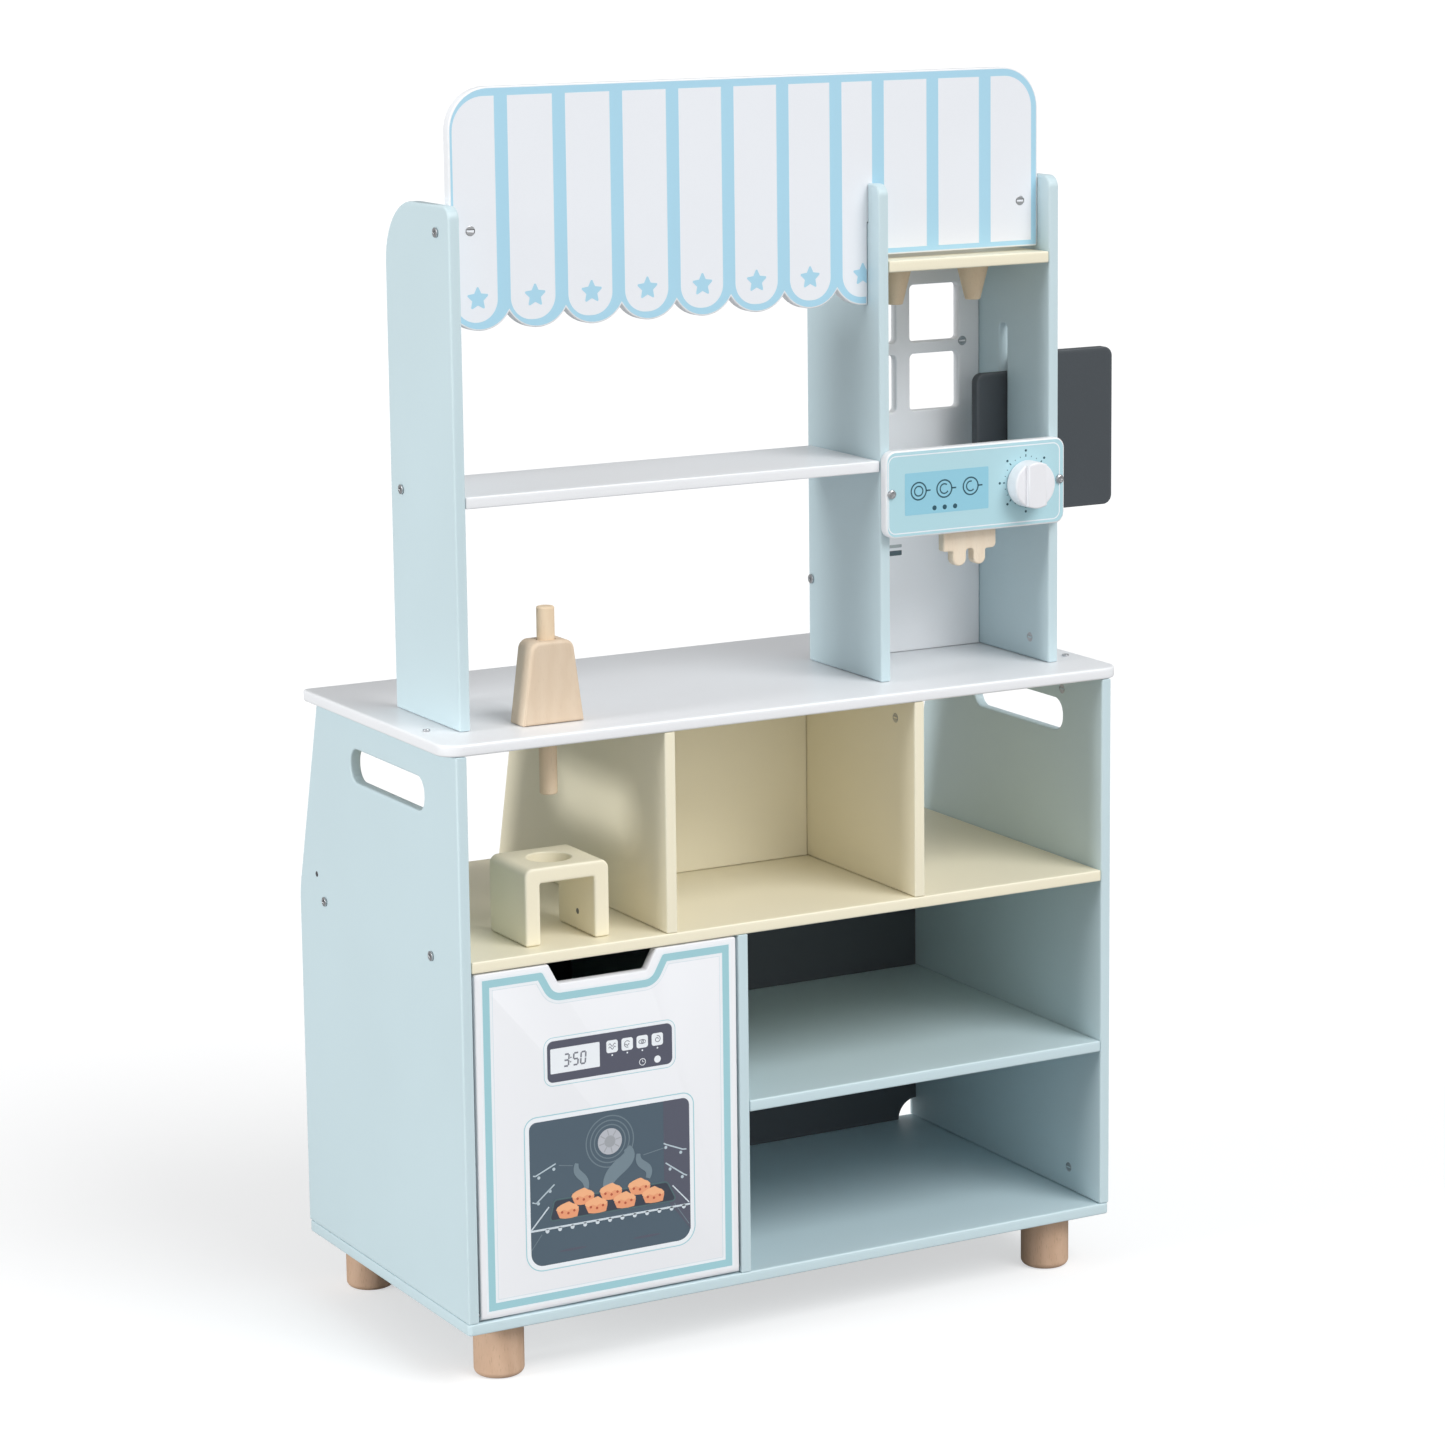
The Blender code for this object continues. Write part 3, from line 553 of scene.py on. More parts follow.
# %% Uprights
BACK_R, FRONT_R = 50 * MM, 10 * MM
awning_lo, awning_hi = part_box("awning_board")
menu_lo, menu_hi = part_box("menu_board")
NOTCH = 31 * MM
SLOT_SIDE, SLOT_LOW, SLOT_HIGH = 1.5 * MM, 142.3 * MM, 274.1 * MM
for node in ("upright_left", "upright_middle", "upright_right"):
    lo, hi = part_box(node)
    outline = [(lo.y, lo.z, 0.8 * MM), (hi.y, lo.z, 0.8 * MM), (hi.y, hi.z, BACK_R), (lo.y, hi.z, FRONT_R)]
    holes = []
    if node == "upright_middle":
        gap = 0.3 * MM
        y0, y1, floor_z = awning_lo.y - gap, awning_hi.y + gap, hi.z - NOTCH
        outline[3:3] = [(y1, hi.z, 0.5 * MM), (y1, floor_z, 0), (y0, floor_z, 0), (y0, hi.z, 0.5 * MM)]
    if node == "upright_right":
        y0, y1 = menu_lo.y - SLOT_SIDE, menu_hi.y + SLOT_SIDE
        holes = [rect(y0, y1, lo.z + SLOT_LOW, lo.z + SLOT_HIGH, 4 * MM)]
    finish_piece(node + "_painted", [board("x", [outline, *map(hole, holes)], lo.x, hi.x, 1.5 * MM)],
                 blue, "cabinet", node)
print("uprights reach", round(hi.z, 4))

# %% [markdown]
# The rest of the shapes were laid out in millimetres from the cabinet: x from its middle plane, y back from
# the front of its sides, z up from the floor. The frame's origin lies under the middle of the whole
# kitchen, menu board included, so those numbers need one shift.

# %% From the cabinet's millimetres to the frame's metres
CAB_X, CAB_Y = -31.35 * MM, -153.5 * MM


def sized(corners, u=0.0, v=0.0):
    """Corners written in millimetres from the point (u, v), in metres in the frame."""
    return np.asarray(corners, float) * MM + [u, v, 0]


def drill(piece, centre, low, high, r, edge):
    """Upright bore whose top arris is rounded over: the cutter is a plug with a quarter-round flare."""
    above = high + 3 * MM
    a = np.linspace(0, math.pi / 2, 7)
    flare = np.stack([r + edge * (1 - np.cos(a)), high - edge * (1 - np.sin(a)), 0 * a], 1)
    plug = [[(0, low, 0), (r, low, 0)], flare, [(r + edge, above, 0), (0, above, 0)]]
    shell = lathe("z", centre, np.concatenate(plug), 96)
    cutter = finish_piece("cutter", [shell], piece.data.materials[0], piece["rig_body"])
    made.remove(cutter)
    cut = piece.modifiers.new("bore", "BOOLEAN")
    cut.solver, cut.object = "EXACT", cutter
    mesh = bpy.data.meshes.new_from_object(piece.evaluated_get(bpy.context.evaluated_depsgraph_get()))
    piece.modifiers.clear()
    piece.data = mesh
    bpy.data.objects.remove(cutter)
    mesh.set_sharp_from_angle(angle=SHARP)


# %% [markdown]
# ## The awning
# The front board of the awning ends in a row of equal scallops. Each is an arc, so its radius follows from
# its width and its depth. The board laps into the notch of the middle upright, and runs straight beyond
# it, above the coffee counter.

# %% Scalloped awning board
PITCH, SAG, ROUND = 48.05 * MM, 13.5 * MM, 33 * MM
STEP_BEHIND = 38.95 * MM


def scallops(x0, low, count, n=16):
    """Arcs in a row: with half width h and sag s, the radius is (h h + s s) / 2 s."""
    h = PITCH / 2
    r = (h * h + SAG * SAG) / (2 * SAG)
    a = np.linspace(-math.asin(h / r), math.asin(h / r), n, endpoint=False)
    x = x0 + PITCH * (np.arange(count)[:, None] + 0.5) + r * np.sin(a)
    z = low + r - r * np.cos(a) + 0 * x
    return np.stack([x.ravel(), z.ravel(), 0 * x.ravel()], 1)


lo, hi = awning_lo, awning_hi
middle_lo, middle_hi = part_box("upright_middle")
hem = scallops(lo.x, lo.z, 8)
hem = hem[hem[:, 0] < middle_lo.x - 1 * MM]
notch_z = middle_hi.z - NOTCH + 0.3 * MM
cut_x, past_x = middle_lo.x - 0.3 * MM, middle_hi.x + 0.3 * MM
rise_z = lo.z + STEP_BEHIND
above_hem = [(cut_x, hem[-1, 1], 0), (cut_x, notch_z, 0), (past_x, notch_z, 0), (past_x, rise_z, 0),
             (hi.x, rise_z, 0.8 * MM), (hi.x, hi.z, ROUND), (lo.x, hi.z, ROUND)]
awning = np.concatenate([hem, above_hem])
finish_piece("awning_painted", [board("y", [awning], lo.y, hi.y, 0.9 * MM)], white, "cabinet", "awning_board")
print("awning outline", len(awning), "corners")

# %% [markdown]
# ## Prints
# The awning, oven door and coffee panel carry flat prints. Each colour of ink is a very thin plate let
# into the face. Every later colour stands four hundredths of a millimetre further out than the one before
# it, which keeps their order without any gap to see.

# %% Ink plates
LAYER = 0.04 * MM


def loops(*outlines):
    """An outline and its holes, as polygons with no radius left to round."""
    flat = []
    for points in outlines:
        points = points[np.linalg.norm(points - np.roll(points, 1, 0), axis=1) > 1e-7]
        flat.append(np.concatenate([points, np.zeros((len(points), 1))], 1))
    return [flat[0], *(f[::-1] for f in flat[1:])]


def frame_of(corners, outer, inner):
    """The strip between the outline moved in by outer and by inner."""
    return loops(ring(corners, outer), ring(corners, inner))


def stroke(path, width):
    """Ribbon along a path: every point goes half the width to either side of the local direction, which is
    the mean of its neighbours' directions. Width is one number or one for each point."""
    p = np.asarray(path, float)
    t = np.gradient(p, axis=0)
    t /= np.linalg.norm(t, axis=1, keepdims=True)
    side = np.stack([-t[:, 1], t[:, 0]], 1) * (np.asarray(width) / 2 + np.zeros(len(p)))[:, None]
    return loops(np.concatenate([p - side, (p + side)[::-1]]))


def printed(name, face, layer, shapes, ink, body):
    """Plates of one ink on a face that looks towards the front. Shapes are lists of loops."""
    height = face - (layer + 1) * LAYER
    shells = [board("y", shape, height, face + 0.1 * MM, 0) for shape in shapes]
    return finish_piece(name, shells, ink, body)


def ink(name, colour, rough=0.36):
    return paint(name, colour, 0.04, 0.0, rough, 0.06)


sky = ink("ink_sky", (0.42, 0.70, 0.86))
paper = ink("ink_white", (0.86, 0.885, 0.93))

# %% Awning print: sky ground, white panels between the stripes, and stars
INSET = 1.3 * MM
STRIPES = CAB_X + np.array([-218.3, -169.5, -120.6, -71.9, -23.5, 25.5, 73.5, 112.2, 162.8, 212.1]) * MM
HALF = 5.5 * MM
printed("awning_ground", lo.y, 0, [loops(ring(awning, INSET))], sky, "cabinet")
hem_z, top_z, flat_z = lo.z + 6.5 * MM, hi.z - 7 * MM, rise_z + 5 * MM
lefts = np.concatenate([[lo.x + 3 * MM], STRIPES + HALF])
rights = np.concatenate([STRIPES - HALF, [hi.x - 6 * MM]])
panels = []
for i, (x0, x1) in enumerate(zip(lefts, rights)):
    foot = hem_z if i < 8 else flat_z
    r = 17.5 * MM if i < 8 else 0
    bottom = [(x0, foot, r), (x1, foot, r)]
    if i == 7:
        bottom = [(x0, foot, r), (cut_x - 0.8 * MM, foot, 0), (cut_x - 0.8 * MM, notch_z + INSET, 0),
                  (x1, notch_z + INSET, 0)]
    top = [(x1, top_z, 26 * MM if i == 10 else 0), (x0, top_z, 26 * MM if i == 0 else 0)]
    panels.append(loops(ring(bottom + top)))
printed("awning_panels", lo.y, 1, panels, paper, "cabinet")
TIP, WAIST = 10.2 * MM, 5.0 * MM


def star(x, z):
    a = math.pi / 2 + np.arange(10) * math.pi / 5
    r = np.where(np.arange(10) % 2, WAIST, TIP)
    soften = np.where(np.arange(10) % 2, 0.5, 0.9) * MM
    return ring(np.stack([x + r * np.cos(a), z + r * np.sin(a), soften], 1))


stars = [star(CAB_X + (-240.5 + 48.3 * k) * MM, 840.4 * MM) for k in range(8)]
stars[7] = np.minimum(stars[7], [cut_x - 0.8 * MM, 1])
printed("awning_stars", lo.y, 2, [loops(s) for s in stars], sky, "cabinet")
print("panels", len(panels), "stars", len(stars))

# %% [markdown]
# ## The oven door
# The door is one painted board with a dipped hand hole at its top and a rounded lower edge, where the
# hinge pins sit. Its shape comes straight from the imported model, merged and shaded smooth. Everything
# that looks like an oven is ink: a teal band, a clock, and a lit cavity with a tray of muffins.

# %% Door board and its place
# The door wears the darkened white: painted shade against the stronger light on its front
smooth_copy("oven_door_painted", "oven_door", door_white_shaded, "oven_door")
door_lo, door_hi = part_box("oven_door")
DX, DZ, FACE = (door_lo.x + door_hi.x) / 2, door_lo.z, door_lo.y
teal = ink("ink_teal", (0.36, 0.635, 0.70))
pale = ink("ink_pale_line", (0.60, 0.73, 0.79))
bright = ink("ink_bright", (0.88, 0.92, 0.96))
panel_dark = ink("ink_panel", (0.095, 0.10, 0.14))


def on_door(corners):
    return sized(corners, DX, DZ)


def path(points):
    return np.asarray(points, float) * MM + [DX, DZ]


# %% Teal band with its light outline
BAND = 5.95 * MM
band = on_door([(-107.1, 7.25, 0), (107.1, 7.25, 0), (107.1, 270.55, 0), (48.6, 270.55, 3), (38.5, 252.3, 10),
                (-46.4, 252.3, 10), (-56.2, 270.55, 3), (-107.1, 270.55, 0)])
printed("door_band_outline", FACE, 0, [frame_of(band, -1.8 * MM, BAND + 1.8 * MM)], bright, "oven_door")
printed("door_band", FACE, 1, [frame_of(band, 0, BAND)], teal, "oven_door")
printed("door_band_line", FACE, 0, [frame_of(band, BAND + 2.3 * MM, BAND + 2.6 * MM)], pale, "oven_door")

# %% Clock panel
panel = on_door(rect(-53.2, 55.7, 181.6, 214.6, 5))
printed("panel_outline", FACE, 0, [loops(ring(panel, -1.8 * MM))], bright, "oven_door")
printed("panel_line", FACE, 0, [frame_of(panel, -3.0 * MM, -2.5 * MM)], teal, "oven_door")
printed("panel", FACE, 1, [loops(ring(panel))], panel_dark, "oven_door")
buttons = [rect(x - 5, x + 5, 198.1, 208.1, 2) for x in (3.0, 16.2, 29.4, 42.7)]
lamps = [circle(x, 196.1, 0.7, 16) for x in (3.0, 16.2, 29.4, 42.7)]
light = [loops(ring(on_door(c))) for c in (rect(-50.5, -7.9, 188.5, 208.4, 0.8), *buttons, *lamps)]
light += [loops(ring(on_door(circle(42.6, 187, 2.9)))),
          frame_of(on_door(circle(29.4, 186.7, 2.9)), 0, 0.5 * MM),
          stroke(path([(29.4, 188.4), (29.4, 186.7), (30.8, 186.7)]), 0.45 * MM)]
printed("panel_light", FACE, 2, light, bright, "oven_door")

# %% Clock digits from seven bars, and the small signs on the buttons
BARS = {"a": (0, 1, 1, 1), "b": (1, 1, 1, 0.5), "c": (1, 0.5, 1, 0), "d": (0, 0, 1, 0), "e": (0, 0.5, 0, 0),
        "f": (0, 1, 0, 0.5), "g": (0, 0.5, 1, 0.5)}
DIGIT_W, DIGIT_H, LEAN = 4.0, 9.4, 0.09
signs = []
for x, bars in ((-39.1, "abgcd"), (-31.0, "afgcd"), (-24.6, "abcdef")):
    for u0, v0, u1, v1 in (BARS[b] for b in bars):
        ends = np.array([(u0 * DIGIT_W, v0 * DIGIT_H), (u1 * DIGIT_W, v1 * DIGIT_H)])
        step = (ends[1] - ends[0]) / np.linalg.norm(ends[1] - ends[0]) * 0.35
        ends += [step, -step]
        ends[:, 0] += x + ends[:, 1] * LEAN
        signs.append(stroke(path(ends + [0, 193.3]), 1.3 * MM))
signs += [loops(ring(on_door(circle(-33.4 + LEAN * v, 193.3 + v, 0.6, 12)))) for v in (2.9, 6.3)]
turn = np.linspace(0, 1, 24)
wave = np.stack([turn * 6 - 3, np.sin(turn * 9) * 1.1], 1)
coil = np.stack([(0.8 + 2.2 * turn) * np.cos(turn * 8), (0.8 + 2.2 * turn) * np.sin(turn * 8)], 1)
hook = np.stack([2.4 * np.cos(turn * 4.5 + 0.6), 2.6 * np.sin(turn * 4.5 + 0.6)], 1)
leaf = np.stack([3 * np.cos(turn * 6.1), 1.6 * np.sin(turn * 6.1)], 1)
for x, signs_here in ((3.0, ((wave, 1.2), (wave, -1.2))), (16.2, ((hook, 0), (wave * 0.6, -0.6))),
                      (29.4, ((leaf, 0), (coil * 0.5, 0))), (42.7, ((coil, 0),))):
    signs += [stroke(path(s + [x, 203.1 + dz]), 0.6 * MM) for s, dz in signs_here]
sign_grey = ink("ink_sign", (0.20, 0.21, 0.25))
printed("panel_signs", FACE, 3, signs, sign_grey, "oven_door")

# %% [markdown]
# The oven window is a picture in a few inks. From back to front: a slate ground, a right wall with a warmer
# tone, the fan with its rings, racks on hooks, steam, a tray on its rail, and two rows of muffins.

# %% Window ground, wall and frame
window = on_door([(-70, 36, 11), (70, 36, 11), (70, 152, 6), (-70, 152, 6)])
printed("window_frame", FACE, 0, [loops(ring(window, -3 * MM))], bright, "oven_door")
printed("window_line", FACE, 0, [frame_of(window, -4.4 * MM, -3.6 * MM)], teal, "oven_door")
cavity = ink("ink_cavity", (0.082, 0.122, 0.16))
wall = ink("ink_wall", (0.098, 0.105, 0.145))
printed("window_ground", FACE, 1, [loops(ring(window))], cavity, "oven_door")
right_wall = on_door([(47, 74, 0), (70, 44, 0), (70, 152, 6), (47, 152, 0)])
smudges = [loops(ring(on_door(circle(x, 45 - x * 0.01, 1, 24) * [12, 1, 1] - [11 * x, 0, 0])))
           for x in (-34, 31)]
printed("window_wall", FACE, 2, [loops(ring(right_wall)), *smudges], wall, "oven_door")

# %% Fan, racks and steam
rings_ink = ink("ink_fan_ring", (0.16, 0.215, 0.255))
FAN_X, FAN_Z = -0.3, 127


def fan_ring(outer, inner):
    return frame_of(on_door(circle(FAN_X, FAN_Z, outer, 48)), 0, (outer - inner) * MM)


fan_rings = [fan_ring(r + 0.5, r - 0.5) for r in (13.5, 17.0, 20.7)]
printed("fan_rings", FACE, 2, fan_rings, rings_ink, "oven_door")
hub_ink = ink("ink_hub", (0.50, 0.52, 0.57))
printed("fan_hub", FACE, 3, [loops(ring(on_door(circle(FAN_X, FAN_Z, 10.5, 48))))], hub_ink, "oven_door")
spokes = [stroke(path([(FAN_X + r * math.cos(a), FAN_Z + r * math.sin(a)) for r in (5, 9.6)]), 0.8 * MM)
          for a in np.arange(8) * math.pi / 4 + 0.2]
grey = ink("ink_grey", (0.37, 0.39, 0.42))
core = loops(ring(on_door(circle(FAN_X, FAN_Z, 4.8, 32))))
printed("fan_core", FACE, 4, [core, *spokes], grey, "oven_door")


def bezier(a, b, c, d, n=24):
    """Cubic from a to d that leaves towards b and arrives from c."""
    t = np.linspace(0, 1, n)[:, None]
    a, b, c, d = (np.array(p, float) for p in (a, b, c, d))
    return (1 - t) ** 3 * a + 3 * t * (1 - t) ** 2 * b + 3 * t * t * (1 - t) * c + t ** 3 * d


def plume(a, b, c, d, width):
    """Steam: a ribbon that swells in the middle and thins towards its ends."""
    t = np.linspace(0, 1, 24)
    swell = 0.25 + 0.75 * np.sin(math.pi * (0.08 + 0.80 * t)) ** 0.8
    return stroke(path(bezier(a, b, c, d)), width * MM * swell)


steam_ink = ink("ink_steam", (0.185, 0.25, 0.295))
steam = [plume((-29.4, 113.8), (-33, 103), (-20, 104), (-21.5, 92), 6.2),
         plume((14.5, 119.5), (24, 107), (-4, 106), (-2.8, 89), 12.5),
         plume((24.6, 113), (22, 101), (38, 104), (32.5, 92), 6.6)]
printed("steam", FACE, 5, steam, steam_ink, "oven_door")
wire_ink = ink("ink_wire", (0.50, 0.60, 0.66))
hooks = [((-67.3, 109.6), (-65.1, 109.2), (-47.6, 116.6)), ((-68.2, 88.4), (-65, 87.2), (-49, 100.1)),
         ((46.9, 117.8), (48.6, 116.8), (63.7, 110.4), (67.1, 110.1)),
         ((48.4, 101.6), (64.6, 89.8), (67.4, 88.5))]
studs = [(-62.4, 107.5), (-49.3, 112.4), (-63.1, 86.8), (-52.9, 95.2),
         (48.8, 114.2), (62, 108.1), (52.3, 96), (63.1, 88)]
wires = [stroke(path(h), 1.1 * MM) for h in hooks]
wires += [loops(ring(on_door(circle(x, z, 1.3, 16)))) for x, z in studs]
printed("rack_hooks", FACE, 3, wires, wire_ink, "oven_door")
faint = [stroke(path(p), 0.7 * MM) for p in (
    ((-44.9, 114.7), (-32.9, 112.6)), ((28.9, 111.3), (46.9, 114)), ((-70, 49.5), (-60.5, 61.5)),
    ((55.8, 67.5), (68.6, 48.7)))]
printed("rack_far_lines", FACE, 3, faint, rings_ink, "oven_door")

# %% Tray and its front rail
tray = on_door([(-49.7, 88, 4), (-54.4, 70.5, 3), (58.7, 69.1, 3), (49.9, 86.6, 4)])
tray_edge, tray_ink = ink("ink_tray_edge", (0.085, 0.15, 0.165)), ink("ink_tray", (0.045, 0.055, 0.078))
printed("tray_outline", FACE, 6, [loops(ring(tray))], tray_edge, "oven_door")
printed("tray", FACE, 7, [loops(ring(tray, 1.1 * MM))], tray_ink, "oven_door")
rail = [stroke(path([(-70, 65.3), (69.6, 64.7)]), 1.5 * MM),
        stroke(path([(-69.7, 66.2), (-54.2, 82.7)]), 1.0 * MM),
        stroke(path([(54.3, 82.2), (68.8, 66.3)]), 1.0 * MM)]
rail += [loops(ring(on_door(circle(-55.9 + 10.9 * i, 63.5, 1.7, 18)))) for i in range(12)]
rail_ink = ink("ink_rail", (0.66, 0.74, 0.80))
printed("tray_rail", FACE, 8, rail, rail_ink, "oven_door")

# %% Muffins: a fluted cup, a domed top and three berries
CUP = [(-10, 1.7), (-6.9, -5.4), (-2.2, -6.4), (3.0, -6.6), (8.4, -6.1), (10.2, 0.7), (6.8, -0.3),
       (3.4, 1.3), (0, -0.2), (-3.4, 1.4), (-6.8, 0.2)]
TOP = [(-10.2, 1.2), (-6.8, -0.6), (-3.4, 1.0), (0, -0.6), (3.4, 0.9), (6.8, -0.8), (10.4, 0.6),
       (7.6, 3.6), (4.6, 4.9), (1.6, 7.0), (-1.4, 6.4), (-5.6, 5.2), (-8.8, 3.6)]
BACK_ROW = [(x, 86.3) for x in (-24.6, -0.3, 24.7)]
FRONT_ROW = [(x, 77.5) for x in (-38.2, -13.2, 11.7, 36.9)]


def soft(points, x, z, r=0.9):
    return loops(ring(on_door([(u + x, v + z, r) for u, v in points])))


cup_ink, top_ink = ink("ink_cup", (0.86, 0.36, 0.19)), ink("ink_cake", (0.93, 0.47, 0.25))
berry_ink = ink("ink_berry", (0.50, 0.10, 0.05))
for layer, row, name in ((8, BACK_ROW, "back"), (9, FRONT_ROW, "front")):
    printed(f"cups_{name}", FACE, layer, [soft(CUP, x, z) for x, z in row], cup_ink, "oven_door")
    printed(f"cakes_{name}", FACE, layer + 1, [soft(TOP, x, z) for x, z in row], top_ink, "oven_door")
    berries = [loops(ring(on_door(circle(x + u, z + v, 1.05, 14)))) for x, z in row
               for u, v in ((-4.8, -0.9), (0.6, -2.4), (5.8, -0.9))]
    printed(f"berries_{name}", FACE, layer + 2, berries, berry_ink, "oven_door")
print("pieces so far", len(made))

# %% [markdown]
# ## The coffee counter
# A panel screwed to the two uprights carries a printed display and a dial. The knob turns on a shaft
# through the panel. Behind it hang a wooden spout and, above, two turned pegs for cups. The back wall of
# the bay has two short printed bars beside the spout.

# %% Panel print: pale area, display, three gauges
CX, CZ, FACE = CAB_X + 187.0 * MM, 665.0 * MM, fascia_lo.y


def on_panel(corners):
    return sized(corners, CX, CZ)


ground = on_panel(rect(-83.3, 83.3, -33.9, 33.9, 7.4))
area = on_panel(rect(-82, 79.4, -31, 30.6, 6))
bore = ring(circle(NX, NZ, SHAFT_BORE))
aqua = ink("ink_aqua", (0.47, 0.72, 0.79))
pool = ink("ink_pool", (0.30, 0.62, 0.76))
navy = ink("ink_navy", (0.022, 0.09, 0.125))
printed("panel_area", FACE, 0, [loops(ring(ground), bore)], aqua, "cabinet")
printed("panel_area_line", FACE, 1, [frame_of(area, -0.9 * MM, 0)], bright, "cabinet")
printed("panel_display", FACE, 2, [loops(ring(on_panel(rect(-67.4, 11.5, -17.5, 16.7, 1))))], pool, "cabinet")


def hoop(x, z, r, width, n=40):
    return frame_of(on_panel(circle(x, z, r + width / 2, n)), 0, width * MM)


def line(points, width):
    return stroke(np.asarray(points, float) * MM + [CX, CZ], width * MM)


marks = []
for x, z, start in ((-54.5, 1.6, 0.0), (-30.4, 1.8, 0.9), (-5.5, 2.0, 1.3)):
    marks += [hoop(x, z, 7.0, 1.2), line([(x + 7, z), (x + 11.2, z + 0.1)], 1.2)]
    a = np.linspace(start, 2 * math.pi - start * 0.6, 30)
    if start == 0:
        marks.append(hoop(x, z, 3.9, 1.1))
    else:
        marks.append(line(np.stack([x + 3.9 * np.cos(a), z + 3.9 * np.sin(a)], 1), 1.1))
marks += [loops(ring(on_panel(circle(x, -13.1, 2.0, 24)))) for x in (-39.7, -30.1, -20.3)]

# %% Panel print: dial marks round the knob
KX, KZ = 47.3, 1.8
for degrees in (45, 90, 135, 180, 225, 270):
    a = math.radians(degrees)
    marks.append(loops(ring(on_panel(circle(KX + 25 * math.cos(a), KZ + 25 * math.sin(a), 1.05, 16)))))
for degrees in range(30, 285, 15):
    a = math.radians(degrees)
    reach = 21.9 if degrees % 45 == 0 else 20.9
    spoke = [(KX + r * math.cos(a), KZ + r * math.sin(a)) for r in (19.9, reach)]
    marks.append(line(spoke, 0.9 if degrees % 45 == 0 else 0.55))
printed("panel_marks", FACE, 3, marks, navy, "cabinet")
bay_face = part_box("bay_back")[0].y
bars = [loops(ring(sized(rect(150, 186, 594, 598.2, 0.6), CAB_X, 0)))]
bars_grey = [loops(ring(sized(rect(140, 186, 600.6, 603.2, 0.6), CAB_X, 0)))]
bar_dark, bar_grey = ink("ink_bar_dark", (0.085, 0.13, 0.15)), ink("ink_bar_grey", (0.42, 0.47, 0.48))
printed("bay_bar_dark", bay_face, 0, bars, bar_dark, "cabinet")
printed("bay_bars_grey", bay_face, 0, bars_grey, bar_grey, "cabinet")

# %% Knob: a thick disc with a grip bar across it
REAR, GRIP_HALF, R = knob_hi.y, 9.0 * MM, 19.0 * MM
CROWN = REAR - 14.5 * MM
disc = [(0, REAR, 0), (R - 0.8 * MM, REAR, 0.6 * MM), (R, REAR - 1.2 * MM, 1 * MM), (R, CROWN, 1.6 * MM),
        (0, CROWN, 0)]
a = math.asin(GRIP_HALF / (R - 0.2 * MM))
sweep = np.linspace(a, -a, 9)
end = np.stack([NX + (R - 0.2 * MM) * np.sin(sweep), NZ + (R - 0.2 * MM) * np.cos(sweep), 0 * sweep], 1)
grip = np.concatenate([end, [[2 * NX, 2 * NZ, 0]] - end * [1, 1, 0]])
knob_white = paint("knob_white", (0.86, 0.865, 0.90), 0.03, 0.12, 0.4, 0.08)
bar = board("y", [grip], knob_lo.y, REAR - 4 * MM, 1.2 * MM, 0.7 * MM)
finish_piece("knob_turned", [lathe("y", (NX, NZ), disc, 96), bar], knob_white, "coffee_knob", "coffee_knob")

# %% Spout and cup pegs
lo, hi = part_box("spout")
spout = sized([(162.0, 648.0, 2), (162.0, 613.0, 2), (170.8, 613.0, 1.5), (170.8, 600.6, 6.0),
               (183.2, 600.6, 6.0), (183.2, 614.0, 3), (190.2, 614.0, 3), (190.2, 600.6, 5.6),
               (201.6, 600.6, 5.6), (201.6, 613.0, 1.5), (211.6, 613.0, 4), (211.6, 648.0, 2)], CAB_X, 0)
finish_piece("spout_sawn", [board("y", [spout], lo.y, hi.y, 1.1 * MM)], raw_spout, "cabinet", "spout")
for node in ("cone_holder_left", "cone_holder_right"):
    lo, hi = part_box(node)
    r = (hi.x - lo.x) / 2
    peg = [(0, lo.z, 0), (r * 0.44, lo.z, 1.2 * MM), (r, hi.z, 0), (0, hi.z, 0)]
    finish_piece(node + "_turned", [lathe("z", ((lo.x + hi.x) / 2, (lo.y + hi.y) / 2), peg, 64)], raw_upright,
                 "cabinet", node)

# %% [markdown]
# ## The ice-cream dispenser and the small loose pieces
# A tapered wooden block stands on the counter, and a rod slides through it and the counter. A child sets a
# cone in the stand below and pushes the rod down. The stand is an arch with a hole through its top. The
# menu board hangs in a slot of the right upright and is painted as a chalkboard, like the cabinet's back.

# %% Dispenser block and rod
lo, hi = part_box("hopper")
mid = (lo.x + hi.x) / 2
TOP_HALF = 17.65 * MM
block = [(lo.x, lo.z, 0.6 * MM), (hi.x, lo.z, 0.6 * MM), (mid + TOP_HALF, hi.z, 8 * MM),
         (mid - TOP_HALF, hi.z, 8 * MM)]
shell = board("y", [block], lo.y, hi.y, 3.0 * MM, 3 * MM, 7)
hopper = finish_piece("hopper_sanded", [shell], raw_pale, "cabinet", "hopper")
drill(hopper, ROD, lo.z - 2 * MM, hi.z, ROD_BORE, 0.6 * MM)
lo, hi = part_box("plunger")
r = (hi.x - lo.x) / 2
rod = [(0, lo.z, 0), (r, lo.z, 1.4 * MM), (r, hi.z, 1.4 * MM), (0, hi.z, 0)]
finish_piece("plunger_turned", [lathe("z", ROD, rod, 64)], raw_upright, "plunger", "plunger")

